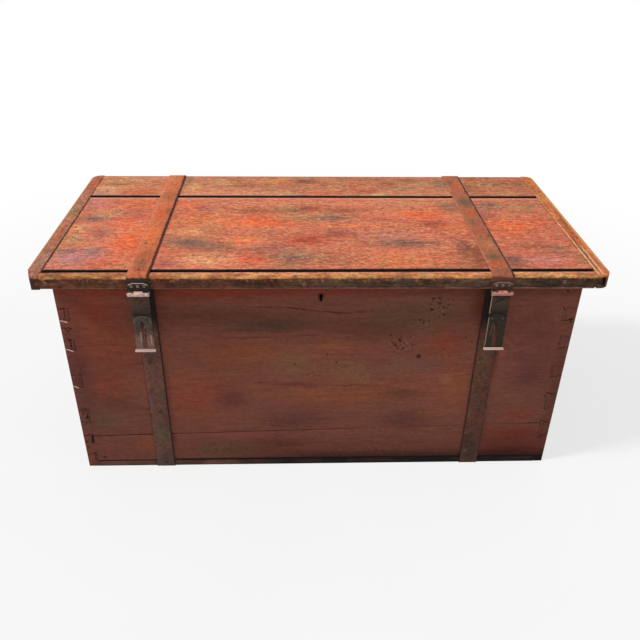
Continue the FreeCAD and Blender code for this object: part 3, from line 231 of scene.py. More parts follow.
# Cracks and joint lines of the front: across and up at both ends, half width, and how much of the
# paint's red, green and blue the line leaves.
FRONT_MARKS = (
    (-132, 419, -62, 419, 1.8, (0.50, 0.45, 0.45)), (-62, 419, -17, 411, 2.2, (0.35, 0.30, 0.30)),
    (-17, 411, 49, 405, 2.0, (0.40, 0.34, 0.34)), (49, 405, 91, 407, 1.8, (0.50, 0.45, 0.45)),
    (-518, 416, -508, 419, 2.2, (0.20, 0.15, 0.15)), (-509, 418, -510, 389, 2.0, (0.25, 0.20, 0.20)),
    (-523, 373, -503, 372, 2.0, (0.30, 0.25, 0.25)), (-516, 374, -507, 357, 1.8, (0.30, 0.25, 0.25)),
    (-503, 372, -517, 356, 1.8, (0.30, 0.25, 0.25)), (-514, 345, -507, 344, 2.2, (0.20, 0.15, 0.15)),
    (-508, 344, -511, 319, 2.2, (0.20, 0.15, 0.15)), (-498, 274, -508, 243, 1.6, (0.50, 0.42, 0.42)),
    (-518, 166, -505, 166, 2.2, (0.15, 0.12, 0.12)), (-514, 166, -514, 149, 1.8, (0.25, 0.20, 0.20)),
    (-508, 164, -505, 142, 2.0, (0.20, 0.15, 0.15)), (-506, 131, -521, 117, 1.8, (0.30, 0.25, 0.25)),
    (-523, 89, -503, 95, 2.0, (0.20, 0.15, 0.15)), (-503, 95, -505, 68, 2.8, (0.08, 0.06, 0.06)),
    (-502, 88.5, -372, 92.5, 1.8, (0.20, 0.15, 0.15)), (-523, 31, -517, 33, 1.8, (0.30, 0.25, 0.25)),
    (-515, 37, -504, 39, 2.0, (0.20, 0.15, 0.15)), (-504, 37, -505, 18, 1.8, (0.25, 0.20, 0.20)),
    (494, 418, 499, 407, 2.0, (0.25, 0.20, 0.20)), (495, 407, 497, 386, 1.8, (0.30, 0.25, 0.25)),
    (496, 383, 516, 389, 3.2, (0.06, 0.05, 0.05)), (514, 388, 515, 380, 3.0, (0.12, 0.10, 0.10)),
    (496, 314, 516, 321, 2.0, (0.20, 0.15, 0.15)), (496, 331, 506, 325, 1.6, (0.35, 0.30, 0.30)),
    (497, 274, 497, 254, 1.8, (0.45, 0.42, 0.38)), (499, 242, 519, 246, 1.8, (0.30, 0.25, 0.25)),
    (498, 200, 512, 196, 1.8, (0.30, 0.25, 0.25)), (496, 195, 497, 183, 1.8, (0.35, 0.30, 0.30)),
    (499, 121, 518, 115, 2.2, (0.15, 0.12, 0.12)), (470, 117, 501, 115, 1.6, (0.35, 0.30, 0.30)),
    (508, 119, 506, 71, 1.6, (0.45, 0.40, 0.40)),
)

# Joints at the left corner that stand open to fresh wood: across and up at both ends, half width.
PALE_JOINTS = ((-522.5, 389.5, -508, 385.5, 1.8), (-522.5, 321.5, -508, 316, 1.8),
               (-522.5, 227, -508, 222, 1.8))

# Small dark dots on the front: across, up and radius.
FRONT_DOTS = (
    (225, 438, 5), (240, 428, 4.5), (224, 413, 5), (250, 400, 4.5), (238, 440, 4), (165, 340, 5),
    (157, 326, 5), (173, 320, 4), (146, 352, 4), (203, 388, 4), (207.5, 298.5, 8.5), (302, 344, 3.5),
    (316, 334, 3.5), (-509, 223, 5), (-506, 142, 6), (-519, 72, 4.5), (-516, 57, 4), (-485, 26, 5.5),
    (-463, 6, 5.5), (494.3, 454.5, 4.5), (15, 305, 3.5), (35, 284, 4), (-52, 281, 3.5),
)


# Finishes

def spread(across, along, wide, deep, upright):
    """The centre and reach of a mask given in millimetres: on the lid it runs back, on a wall up."""
    across, along, wide, deep = (size * MM for size in (across, along, wide, deep))
    if upright:
        return (across, 0, along), (wide, ENDLESS, deep)
    return (across, along, 0), (wide, deep, ENDLESS)


class Nodes:
    """Shader nodes of one tree. Each node is made after what feeds it."""

    def __init__(self, tree):
        self.tree = tree

    def new(self, kind):
        return self.tree.nodes.new("ShaderNode" + kind)

    def put(self, socket, value):
        """Sets a socket, or links another node's output to it."""
        if isinstance(value, bpy.types.NodeSocket):
            self.tree.links.new(value, socket)
        elif socket.type == "RGBA" and len(value) == 3:
            socket.default_value = (*value, 1)
        else:
            socket.default_value = value

    def maths(self, operation, *values):
        node = self.new("Math")
        node.operation = operation
        for socket, value in zip(node.inputs, values):
            self.put(socket, value)
        return node.outputs[0]

    def vector(self, operation, first, second=None):
        node = self.new("VectorMath")
        node.operation = operation
        self.put(node.inputs[0], first)
        if second is not None:
            self.put(node.inputs["Scale" if operation == "SCALE" else 1], second)
        return node.outputs["Value" if operation in ("LENGTH", "DISTANCE", "DOT_PRODUCT") else "Vector"]

    def axes(self, place):
        """The three coordinates of a place."""
        node = self.new("SeparateXYZ")
        self.put(node.inputs[0], place)
        return node.outputs

    def step(self, value, low, high):
        """0 at low and 1 at high, smooth between them; high may be the smaller one."""
        node = self.new("MapRange")
        node.interpolation_type = "SMOOTHSTEP"
        self.put(node.inputs["Value"], value)
        rising = low < high
        for name, number in (("From Min", min(low, high)), ("From Max", max(low, high)),
                             ("To Min", 1 - rising), ("To Max", rising)):
            node.inputs[name].default_value = number
        return node.outputs["Result"]

    def mix(self, share, first, second, blend="MIX"):
        node = self.new("Mix")
        node.data_type = "RGBA"
        node.blend_type = blend
        factor, a_colour, b_colour = node.inputs["Factor"], node.inputs[6], node.inputs[7]
        self.put(factor, share)
        self.put(a_colour, first)
        self.put(b_colour, second)
        return node.outputs[2]


class Recipe(Nodes):
    """A small node group, started from its named inputs."""

    def __init__(self, name, result, **kinds):
        super().__init__(bpy.data.node_groups.new(name, "ShaderNodeTree"))
        for kind, titles in kinds.items():
            for title in titles:
                self.tree.interface.new_socket(title, in_out="INPUT", socket_type="NodeSocket" + kind)
        self.tree.interface.new_socket("Result", in_out="OUTPUT", socket_type="NodeSocket" + result)
        self.given = self.tree.nodes.new("NodeGroupInput").outputs
        self.out = self.tree.nodes.new("NodeGroupOutput")

    def give(self, value):
        self.tree.links.new(value, self.out.inputs[0])

    def fading(self):
        """1 at the centre and 0 at the reach."""
        gap = self.vector("SUBTRACT", self.given["Place"], self.given["Centre"])
        return self.step(self.vector("LENGTH", self.vector("DIVIDE", gap, self.given["Reach"])), 1, 0)


def patch_recipe(name):
    """A soft round mask."""
    recipe = Recipe(name, "Float", Vector=("Place", "Centre", "Reach"))
    recipe.give(recipe.fading())


def stain_recipe(name):
    """A soft round stain that tints the colour under it."""
    recipe = Recipe(name, "Color", Color=("Colour", "Tint"), Vector=("Place", "Centre", "Reach"))
    recipe.give(recipe.mix(recipe.fading(), recipe.given["Colour"], recipe.given["Tint"], "MULTIPLY"))


def stroke_recipe(name):
    """A thin mask along a straight run."""
    recipe = Recipe(name, "Float", Vector=("Place", "Start", "End"), Float=("Width",))
    run = recipe.vector("SUBTRACT", recipe.given["End"], recipe.given["Start"])
    away = recipe.vector("SUBTRACT", recipe.given["Place"], recipe.given["Start"])
    share = recipe.maths("DIVIDE", recipe.vector("DOT_PRODUCT", away, run),
                         recipe.vector("DOT_PRODUCT", run, run))
    foot = recipe.vector("SCALE", run, recipe.maths("MINIMUM", recipe.maths("MAXIMUM", share, 0.0), 1.0))
    gap = recipe.maths("DIVIDE", recipe.vector("DISTANCE", away, foot), recipe.given["Width"])
    solid_core = 0.35
    recipe.give(recipe.step(gap, 1, solid_core))


def mottle_recipe(name):
    """Shifts a colour by the three channels of a cloud."""
    recipe = Recipe(name, "Color", Color=("Colour",), Vector=("Cloud",), Float=("Light", "Red", "Ochre"))
    middle = recipe.vector("SUBTRACT", recipe.given["Cloud"], (0.5, 0.5, 0.5))
    channels = recipe.axes(middle)
    light = recipe.maths("MULTIPLY_ADD", channels[0], recipe.given["Light"], 1.0)
    red = recipe.maths("MULTIPLY", channels[1], recipe.given["Red"])
    ochre = recipe.maths("MULTIPLY", channels[2], recipe.given["Ochre"])
    reds = recipe.maths("MULTIPLY_ADD", red, 0.3, light)
    greens = recipe.maths("SUBTRACT", recipe.maths("MULTIPLY_ADD", ochre, 0.4, light), red)
    blues = recipe.maths("SUBTRACT", recipe.maths("SUBTRACT", light, ochre), red)
    join = recipe.new("CombineXYZ")
    for socket, value in zip(join.inputs, (reds, greens, blues)):
        recipe.put(socket, value)
    tone = recipe.vector("MAXIMUM", join.outputs[0], (0.05, 0.05, 0.05))
    recipe.give(recipe.mix(1.0, recipe.given["Colour"], tone, "MULTIPLY"))


RECIPES = {"Patch": patch_recipe, "Stain": stain_recipe, "Stroke": stroke_recipe, "Mottle": mottle_recipe}


class Finish(Nodes):
    """One finish, built up as layers of nodes that read Object coordinates."""

    def __init__(self, name, gloss=0.12):
        self.material = bpy.data.materials.new(name)
        self.material.use_nodes = True
        super().__init__(self.material.node_tree)
        self.tree.nodes.clear()
        self.shader = self.new("BsdfPrincipled")
        self.shader.inputs["Specular IOR Level"].default_value = gloss
        self.out = self.new("OutputMaterial")
        self.tree.links.new(self.shader.outputs["BSDF"], self.out.inputs["Surface"])
        self.place = self.new("TexCoord").outputs["Object"]
        self.x, self.y, self.z = self.axes(self.place)
        self.ragged = self.place

    def noise(self, size, along=EVEN, detail=3, rough=0.55, twist=0.0, seed=0, output="Fac"):
        """Cloudy noise with blotches about size metres across, longer where along is smaller."""
        cut = self.new("Mapping")
        self.put(cut.inputs["Vector"], self.place)
        cut.inputs["Location"].default_value = [seed * shift for shift in SEED_SHIFT]
        cut.inputs["Scale"].default_value = [share / size for share in along]
        node = self.new("TexNoise")
        self.put(node.inputs["Vector"], cut.outputs[0])
        for name, number in (("Scale", 1), ("Detail", detail), ("Roughness", rough), ("Distortion", twist)):
            node.inputs[name].default_value = number
        return node.outputs[output]

    def ramp(self, value, stops):
        node = self.new("ValToRGB")
        self.put(node.inputs[0], value)
        bar = node.color_ramp.elements
        while len(bar) < len(stops):
            bar.new(0.5)
        for element, (position, colour) in zip(bar, stops):
            element.position = position
            element.color = (*colour, 1)
        return node.outputs["Color"]

    def tint(self, share, colour, tone):
        return self.mix(share, colour, tone, "MULTIPLY")

    def over(self, colour, tone, share, strength):
        """Lays a tone over the colour, strength thick where share is 1."""
        return self.mix(self.maths("MULTIPLY", share, strength), colour, tone)

    def all_of(self, *masks):
        result = masks[0]
        for mask in masks[1:]:
            result = self.maths("MULTIPLY", result, mask)
        return result

    def any_of(self, *masks):
        result = masks[0]
        for mask in masks[1:]:
            result = self.maths("MAXIMUM", result, mask)
        return result

    def group(self, name, **inputs):
        """Adds a recipe by its name, which is made the first time it is asked for."""
        if name not in bpy.data.node_groups:
            RECIPES[name](name)
        node = self.new("Group")
        node.node_tree = bpy.data.node_groups[name]
        for title, value in inputs.items():
            self.put(node.inputs[title], value)
        return node.outputs[0]

    def roughen(self, size, amount, along=EVEN):
        """Pushes the place about, so that stains and wear get ragged edges."""
        cloud = self.noise(size, along, 4, 0.6, output="Color", seed=2)
        push = self.vector("SCALE", self.vector("SUBTRACT", cloud, (0.5, 0.5, 0.5)), amount)
        self.ragged = self.vector("ADD", self.place, push)

    def patch(self, centre, reach):
        """A soft round mask: 1 at its centre and 0 at its reach."""
        return self.group("Patch", Place=self.ragged, Centre=centre, Reach=reach)

    def spot(self, across, along, wide, deep, upright=False):
        """A patch given in millimetres, on the lid or on a wall."""
        return self.patch(*spread(across, along, wide, deep, upright))

    def stroke(self, start, end, width):
        """A thin mask along a straight run."""
        return self.group("Stroke", Place=self.ragged, Start=start, End=end, Width=width)

    def lid_line(self, x, y, end_x, end_y, width):
        """A stroke on the lid's top, given in millimetres."""
        return self.stroke((x * MM, y * MM, LID_TOP), (end_x * MM, end_y * MM, LID_TOP), width * MM)

    def wall_line(self, x, z, end_x, end_z, width):
        """A stroke on the front wall, given in millimetres."""
        face = WALL_LOW.y
        return self.stroke((x * MM, face, z * MM), (end_x * MM, face, end_z * MM), width * MM)

    def attribute(self, name):
        node = self.new("Attribute")
        node.attribute_name = name
        return node.outputs["Fac"]

    def stained(self, colour, stains, upright=False, strength=1.0):
        """Lays a table of stains over the paint."""
        for name, places in stains.items():
            tint = [1 + strength * (share - 1) for share in TONES[name]]
            for row in places:
                centre, reach = spread(*row, upright)
                colour = self.group("Stain", Colour=colour, Place=self.ragged, Centre=centre, Reach=reach,
                                    Tint=(*tint, 1))
        return colour

    def mottled(self, colour, size, along, light, red, ochre, detail=2, seed=0):
        """Uneven paint: lighter and darker, redder and browner, yellower and pinker."""
        cloud = self.noise(size, along, detail, 0.6, 0.2, seed, "Color")
        return self.group("Mottle", Colour=colour, Cloud=cloud, Light=light, Red=red, Ochre=ochre)

    def hairlines(self, size, along, width, seed):
        """Thin wandering lines, such as crackle and rubbed grain."""
        cloud = self.noise(size, along, 3, 0.65, 0.4, seed)
        return self.step(self.maths("ABSOLUTE", self.maths("SUBTRACT", cloud, 0.5)), width, width * 0.3)

    def bump(self, height, strength=0.4, distance=0.001):
        node = self.new("Bump")
        node.inputs["Strength"].default_value = strength
        node.inputs["Distance"].default_value = distance
        self.put(node.inputs["Height"], height)
        self.put(self.shader.inputs["Normal"], node.outputs[0])

    def done(self, colour, roughness, metallic=0.0):
        self.put(self.shader.inputs["Base Color"], colour)
        self.put(self.shader.inputs["Roughness"], roughness)
        self.put(self.shader.inputs["Metallic"], metallic)
        return self.material


# Pieces

def eased_copy(name, width, segments, least):
    """A copy of a CAD node whose sharp edges longer than least are eased, as wear rounds them. The
    eased faces carry the attribute edge, which the finishes read."""
    form = bmesh.new()
    form.from_mesh(NODES[name].data)
    bmesh.ops.remove_doubles(form, verts=form.verts, dist=1e-5)
    bmesh.ops.dissolve_limit(form, angle_limit=FLAT, verts=form.verts, edges=form.edges,
                             delimit={"NORMAL"})
    sharp = [edge for edge in form.edges if len(edge.link_faces) == 2 and edge.calc_length() > least
             and edge.calc_face_angle(0) > SHARP]
    layer = form.faces.layers.float.new("edge")
    if sharp:
        made = bmesh.ops.bevel(form, geom=sharp, offset=width, offset_type="OFFSET", affect="EDGES",
                               segments=segments, profile=0.5, material=-1, clamp_overlap=True)
        for face in made["faces"]:
            face[layer] = 1.0
    return form


def worn_piece(name, material, width, segments=2, least=0.004):
    """Makes a mesh object that stands for a CAD node, with eased edges, and rides on its body."""
    form = eased_copy(name, width, segments, least)
    for face in form.faces:
        face.smooth = True
    mesh = bpy.data.meshes.new("worn_" + name)
    form.to_mesh(mesh)
    form.free()
    mesh.set_sharp_from_angle(angle=CREASE)
    mesh.materials.append(material)
    piece = bpy.data.objects.new("worn_" + name, mesh)
    bpy.context.scene.collection.objects.link(piece)
    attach(piece, BODY_OF[name])
    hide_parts(name)


def dress(material, *names):
    """Gives CAD nodes their finish."""
    for name in names:
        node = NODES[name]
        if not node.material_slots:
            node.data.materials.append(material)
        for slot in node.material_slots:
            slot.material = material


# Wood and paint

# Near black, painted as shade in and beside the lid's gaps.
PAINTED_GAP_SHADE = (0.008, 0.004, 0.003)
SEAM_DIRT = (0.02, 0.009, 0.007)
HOLE_DIRT_AND_GAP_SHADE = (0.02, 0.010, 0.008)
GAP_SHADE_AND_GRIME = (0.006, 0.003, 0.003)
WALL_DIRT = (0.05, 0.018, 0.012)


def bare_wood(finish, grain=(0.06, 1, 1)):
    """Aged bare pine with long growth lines."""
    lines = finish.noise(0.009, grain, 5, 0.6, 0.4, 11)
    bend = finish.noise(0.22, (0.5, 1, 1), 3, seed=12)
    tone = finish.maths("MULTIPLY_ADD", bend, 0.35, finish.maths("MULTIPLY", lines, 0.65))
    return finish.ramp(tone, [(0.30, (0.095, 0.044, 0.020)), (0.45, (0.21, 0.100, 0.045)),
                              (0.58, (0.31, 0.160, 0.078)), (0.72, (0.42, 0.24, 0.125))])


def brushed_paint(finish, colour, grain, broad, fine):
    """The unevenness of old paint at four scales, drawn out a little along the board."""
    for size, stretch, light, red, ochre, detail, seed in (
            (0.060, 1.0, 0.6 * broad, 0.6 * broad, 0.4 * broad, 2, 1),
            (0.018, 1.2, 0.6 * broad, 0.6 * broad, 0.4 * broad, 2, 2),
            (0.0065, 1.1, 1.4 * fine, 0.7 * fine, 0.4 * fine, 2, 3),
            (0.0055, 0.3, 2.0 * fine, 0.9 * fine, 0.5 * fine, 3, 4)):
        along = [share ** stretch for share in grain]
        colour = finish.mottled(colour, size, along, light, red, ochre, detail, seed)
    return colour


def flecked(finish, colour, stretch, amount, pale, dark):
    """Crisp flecks of pale undercoat and dark dirt, thicker in some places than in others."""
    for drift, thin, full, grit_size, tone, seed in (
            (0.055, 0.40, 0.58, 0.0075, pale, 51), (0.060, 0.42, 0.60, 0.0085, dark, 53)):
        thick = finish.step(finish.noise(drift, stretch, 2, seed=seed), thin, full)
        grit = finish.step(finish.noise(grit_size, stretch, 3, 0.7, seed=seed + 1), 0.58, 0.66)
        colour = finish.over(colour, tone, finish.all_of(grit, thick), amount)
    return colour


def rubbed(finish, colour, grain, amount, ochre=(0.72, 0.40, 0.17), dirt=(0.12, 0.055, 0.04)):
    """Hairlines rubbed through to ochre undercoat and flecks of dark dirt, in drifts."""
    wander = [(share + 0.4) / 1.4 for share in grain]
    for size, width, drift, thin, full, tone, seed in (
            (0.016, 0.030, 0.07, 0.40, 0.56, ochre, 5), (0.020, 0.026, 0.09, 0.45, 0.58, dirt, 7)):
        lines = finish.all_of(finish.hairlines(size, wander, width, seed),
                              finish.step(finish.noise(drift, grain, 2, seed=seed + 1), thin, full))
        colour = finish.over(colour, tone, lines, 0.8 * amount)
    grime = finish.step(finish.noise(0.010, grain, 4, 0.7, seed=9), 0.60, 0.68)
    return finish.over(colour, dirt, grime, 0.6 * amount)


def relief(finish, grain, strength=0.35):
    """Raised grain and brush marks."""
    fine = finish.noise(0.004, grain, 3, 0.7, seed=3)
    height = finish.maths("MULTIPLY_ADD", fine, 0.6, finish.noise(0.012, grain, 3, seed=5))
    finish.bump(height, strength, 0.0012)


def below_top(finish):
    """1 on what lies below the lid's top face: its edges, and the sides of the gaps."""
    return finish.step(finish.z, LID_TOP - 0.00048, LID_TOP - 0.0024)


def shade_gap_edge(finish, colour, edge, reach):
    """Painted shade, near black, along a board's edge beside an open gap; reach runs into the board."""
    mask = finish.step(finish.axes(finish.ragged)[1], edge + reach, edge + reach * 0.45)
    return finish.mix(mask, colour, PAINTED_GAP_SHADE)


def lid_side(finish, colour):
    """Near-black painted shade, mottled, on the sides of the lid's boards and down into their gaps, and bare
    wood under them.
    """
    # Painted shade, mottled near black, on all that lies below the lid's top.
    grime = finish.ramp(finish.noise(0.01, detail=4, seed=14), [(0.35, GAP_SHADE_AND_GRIME), (0.65, (0.026, 0.012, 0.009))])
    colour = finish.mix(below_top(finish), colour, grime)
    under = finish.step(finish.z, LID_UNDER + 0.0015, LID_UNDER + 0.0004)
    return finish.mix(under, colour, bare_wood(finish))


def middle_board_paint(colours):
    grain = (0.28, 1, 1)
    finish = Finish("lid_middle_red_paint")
    finish.roughen(0.016, 0.012, (0.6, 1, 1))
    colour = finish.stained(colours.middle_red, MIDDLE_STAINS)
    colour = finish.tint(finish.step(finish.x, -0.30, -0.42), colour, (0.97, 0.92, 0.93))
    colour = finish.tint(finish.step(finish.x, -0.05, 0.05), colour, (0.97, 0.92, 0.94))
    colour = brushed_paint(finish, colour, grain, 0.35, 0.9)
    colour = rubbed(finish, colour, grain, 0.6)
    colour = flecked(finish, colour, (0.6, 1, 1), 0.6, (0.78, 0.46, 0.22), (0.12, 0.055, 0.035))
    for row in OCHRE_SCRATCHES:
        drift = finish.spot(*row)
        scratches = finish.all_of(finish.hairlines(0.015, (0.7, 1, 1), 0.030, 61), drift)
        colour = finish.over(colour, (0.84, 0.56, 0.28), scratches, 0.85)
    rim = finish.step(finish.y, MIDDLE_HIGH.y - 0.016, MIDDLE_HIGH.y - 0.008)
    colour = finish.over(colour, (0.72, 0.33, 0.24), rim, 0.45)
    finish.roughen(0.02, 0.004, (0.4, 1, 1))
    colour = shade_gap_edge(finish, colour, MIDDLE_LOW.y, 0.0045)
    # A wider band of painted gap shade towards the right.
    thick = finish.patch((0.19, MIDDLE_LOW.y, 0), (0.19, 0.010, ENDLESS))
    colour = finish.mix(thick, colour, PAINTED_GAP_SHADE)
    colour = lid_side(finish, colour)
    relief(finish, grain)
    return finish.done(colour, 0.72)


def back_board_paint(colours):
    grain = (0.28, 1, 1)
    finish = Finish("lid_back_red_paint")
    finish.roughen(0.016, 0.012, (0.6, 1, 1))
    colour = finish.stained(colours.back_red, BACK_STAINS)
    colour = finish.tint(finish.step(finish.x, 0.30, 0.42), colour, (0.90, 0.78, 0.76))
    colour = brushed_paint(finish, colour, grain, 0.4, 0.9)
    colour = rubbed(finish, colour, grain, 0.5)
    colour = flecked(finish, colour, (0.6, 1, 1), 0.6, (0.76, 0.46, 0.22), (0.13, 0.06, 0.035))
    rim = finish.step(finish.y, BACK_HIGH.y - 0.012, BACK_HIGH.y - 0.004)
    colour = finish.over(colour, (0.26, 0.105, 0.062), rim, 0.75)
    finish.roughen(0.02, 0.003, (0.4, 1, 1))
    colour = shade_gap_edge(finish, colour, BACK_LOW.y, 0.0085)
    colour = lid_side(finish, colour)
    relief(finish, grain)
    return finish.done(colour, 0.72)


def strip_paint(colours):
    """The lid's front strip: pinkish on top, rubbed to ochre along its front edge, dark on its face."""
    grain = (0.3, 1, 1)
    finish = Finish("lid_strip_worn_paint")
    finish.roughen(0.015, 0.006, grain)
    pink = finish.step(finish.noise(0.05, grain, 3, seed=21), 0.35, 0.65)
    top = finish.mix(pink, (0.50, 0.19, 0.12), (0.64, 0.26, 0.17))
    _, back, up = finish.axes(finish.ragged)
    worn = finish.step(finish.noise(0.02, grain, 4, 0.7, seed=22), 0.40, 0.62)
    for start, end, low, high in ((0.020, 0.010, (0.46, 0.17, 0.085), (0.66, 0.29, 0.14)),
                                  (0.009, 0.005, (0.36, 0.125, 0.040), (0.66, 0.29, 0.095))):
        rub = finish.step(back, STRIP_LOW.y + start, STRIP_LOW.y + end)
        top = finish.mix(rub, top, finish.mix(worn, low, high))
    top = finish.tint(finish.step(finish.x, -0.33, -0.40), top, (0.75, 0.75, 0.72))
    dull = finish.step(finish.noise(0.03, grain, 4, 0.7, seed=23), 0.38, 0.62)
    face = finish.mix(dull, (0.056, 0.026, 0.016), (0.112, 0.056, 0.034))
    scuff = finish.all_of(finish.step(finish.noise(0.007, (0.8, 1, 0.6), 4, 0.7, seed=24), 0.55, 0.63),
                          finish.step(up, LID_UNDER + 0.008, LID_TOP - 0.003))
    face = finish.over(face, (0.36, 0.17, 0.05), scuff, 0.8)
    face = finish.tint(finish.step(finish.x, 0.10, -0.20), face, (1.12, 0.80, 0.76))
    face = finish.tint(finish.step(finish.x, 0.37, 0.42), face, (0.60, 0.62, 0.62))
    for across, half_width, tone in STRIP_BLOCKS:
        block = finish.patch((across * MM, 0, LID_TOP - 0.013), (half_width * MM, ENDLESS, 0.011))
        face = finish.over(face, tone, block, 0.9)
    low = finish.step(up, LID_UNDER + 0.0032, LID_UNDER + 0.0016)
    face = finish.over(face, (0.34, 0.19, 0.13), low, 0.55)
    ahead = finish.step(finish.y, STRIP_LOW.y + 0.008, STRIP_LOW.y + 0.004)
    colour = finish.over(top, face, finish.step(up, LID_TOP - 0.003, LID_TOP - 0.0065), ahead)
    # Painted shade, near black, on the strip's back side below its top, where it faces the gap.
    behind = finish.step(finish.y, STRIP_HIGH.y - 0.006, STRIP_HIGH.y - 0.002)
    colour = finish.over(colour, HOLE_DIRT_AND_GAP_SHADE, behind, below_top(finish))
    colour = finish.mottled(colour, 0.009, grain, 1.6, 0.7, 0.2, 2, 3)
    colour = finish.mottled(colour, 0.0045, (0.6, 0.8, 0.8), 1.6, 0.6, 0.2, 1, 4)
    under = finish.step(finish.z, LID_UNDER + 0.001, LID_UNDER + 0.0002)
    colour = finish.mix(under, colour, bare_wood(finish))
    relief(finish, grain)
    return finish.done(colour, 0.7)


def batten_paint(colours, side, red, stains, lines, outer_rub, front_end):
    """A batten along the grain, rubbed at its outer edge. Side is -1 at the left and 1 at the right."""
    grain = (1, 0.35, 1)
    finish = Finish("left_batten_paint" if side < 0 else "right_batten_paint")
    finish.roughen(0.012, 0.006, grain)
    colour = finish.stained(red, stains)
    colour = brushed_paint(finish, colour, grain, 0.6, 0.9)
    colour = rubbed(finish, colour, grain, 0.5)
    colour = flecked(finish, colour, (1, 0.6, 1), 0.45, (0.70, 0.42, 0.22), (0.10, 0.045, 0.03))
    for *run, tone in lines:
        colour = finish.over(colour, tone, finish.lid_line(*run), 0.8)
    across, _, up = finish.axes(finish.ragged)
    outer = finish.step(finish.maths("MULTIPLY", across, side), 0.5545, 0.5575)
    colour = finish.over(colour, outer_rub, outer, 0.7)
    face = finish.step(up, LID_TOP - 0.004, LID_TOP - 0.008)
    grime = finish.ramp(finish.noise(0.02, detail=4, rough=0.7, seed=25),
                        [(0.35, (0.09, 0.035, 0.022)), (0.6, (0.17, 0.07, 0.045)), (0.7, (0.32, 0.15, 0.08))])
    colour = finish.mix(face, colour, grime)
    end = finish.all_of(finish.step(finish.y, STRIP_LOW.y + 0.0035, STRIP_LOW.y + 0.0015),
                        finish.step(finish.z, LID_TOP - 0.0015, LID_TOP - 0.0045))
    colour = finish.over(colour, front_end, end, 0.9)
    block = finish.patch((0.5520, STRIP_LOW.y, LID_TOP - 0.013), (0.0065, 0.006, 0.012))
    colour = finish.over(colour, (0.006, 0.004, 0.003), finish.all_of(end, block), 0.95)
    relief(finish, grain)
    return finish.done(colour, 0.7)


def strap_paint(name, red, stains, middle, front_fall):
    """Iron strap painted with the lid and chipped to dark iron, with painted shadow along its right edge and
    a pale left edge that is partly wear, partly painted highlight.
    """
    grain = (1, 0.5, 1)
    finish = Finish(name)
    finish.roughen(0.012, 0.008, grain)
    colour = finish.stained(red, stains)
    colour = brushed_paint(finish, colour, grain, 0.30, 0.45)
    colour = flecked(finish, colour, (1, 0.7, 1), 0.45, (0.62, 0.30, 0.14), (0.14, 0.065, 0.04))
    chip = finish.step(finish.noise(0.0065, detail=3, rough=0.7, seed=26), 0.58, 0.64)
    colour = finish.over(colour, (0.13, 0.060, 0.038), chip, 0.75)
    for row in STRAP_RUST:
        colour = finish.over(colour, (0.13, 0.070, 0.038), finish.spot(*row), 0.75)
    across, _, up = finish.axes(finish.ragged)
    # Painted shadow, near black, along the strap's right edge.
    shadow_edge = finish.step(across, middle + 0.0158, middle + 0.0185)
    colour = finish.over(colour, (0.024, 0.011, 0.008), shadow_edge, 0.93)
    # A pale left edge: partly wear, partly painted highlight.
    worn_lit_edge = finish.step(across, middle - 0.0170, middle - 0.0192)
    worn = finish.maths("MULTIPLY_ADD", finish.step(finish.noise(0.02, seed=63), 0.45, 0.60), 0.28, 0.04)
    colour = finish.over(colour, (0.66, 0.38, 0.24), worn_lit_edge, worn)
    down = finish.step(up, LID_TOP + 0.0010, LID_TOP - 0.0035)
    colour = finish.over(colour, front_fall, down, finish.step(finish.y, 0, -0.2))
    for *centre, radius in STRAP_HOLES:
        colour = finish.over(colour, HOLE_DIRT_AND_GAP_SHADE, finish.spot(*centre, radius, radius * 1.6), 0.9)
    relief(finish, grain, 0.25)
    return finish.done(colour, 0.6)


def front_face(finish, colours):
    """The outside of the front: brown-red paint with knots, cracks, water marks and open joints."""
    grain = (0.12, 1, 1)
    finish.roughen(0.02, 0.008, (0.6, 1, 1))
    colour = finish.stained(colours.front_brown, FRONT_STAINS, upright=True, strength=0.85)
    # Painted light: the upper front is lightened against the shade under the lid's overhang.
    colour = finish.tint(finish.step(finish.z, 0.28, 0.33), colour, (1.12, 1.08, 1.05))
    colour = finish.tint(finish.step(finish.z, 0.11, 0.07), colour, (0.92, 0.84, 0.83))
    colour = brushed_paint(finish, colour, grain, 0.22, 0.35)
    colour = rubbed(finish, colour, grain, 0.10, (0.26, 0.14, 0.08), WALL_DIRT)
    pale = finish.step(finish.noise(0.0042, detail=2, rough=0.7, seed=33), 0.54, 0.64)
    dark = finish.step(finish.noise(0.0050, detail=2, rough=0.7, seed=36), 0.56, 0.63)
    for across, up, wide, high, lift, drop in SPECKLED:
        drift = finish.spot(across, up, wide, high, upright=True)
        colour = finish.over(colour, (0.26, 0.15, 0.085), finish.all_of(pale, drift), lift)
        colour = finish.over(colour, (0.022, 0.009, 0.007), finish.all_of(dark, drift), drop)
    colour = finish.stained(colour, FRONT_STREAKS, upright=True)
    finish.roughen(0.012, 0.005, (0.5, 1, 1))
    breaks = finish.maths("MULTIPLY_ADD", finish.step(finish.noise(0.012, detail=3, seed=37), 0.38, 0.56),
                          0.75, 0.25)
    for *run, tone in FRONT_MARKS:
        colour = finish.tint(finish.all_of(finish.wall_line(*run), breaks), colour, tone)
    for row in PALE_JOINTS:
        colour = finish.over(colour, (0.72, 0.47, 0.40), finish.wall_line(*row), 0.85)
    dots = {"hole": [(across, up, radius, radius) for across, up, radius in FRONT_DOTS]}
    colour = finish.stained(colour, dots, upright=True)
    keyhole = finish.patch((0, WALL_LOW.y, WALL_HIGH.z - 0.036), (0.011, ENDLESS, 0.016))
    colour = finish.over(colour, (0.012, 0.006, 0.005), keyhole, 0.85)
    return front_edges(finish, colour)


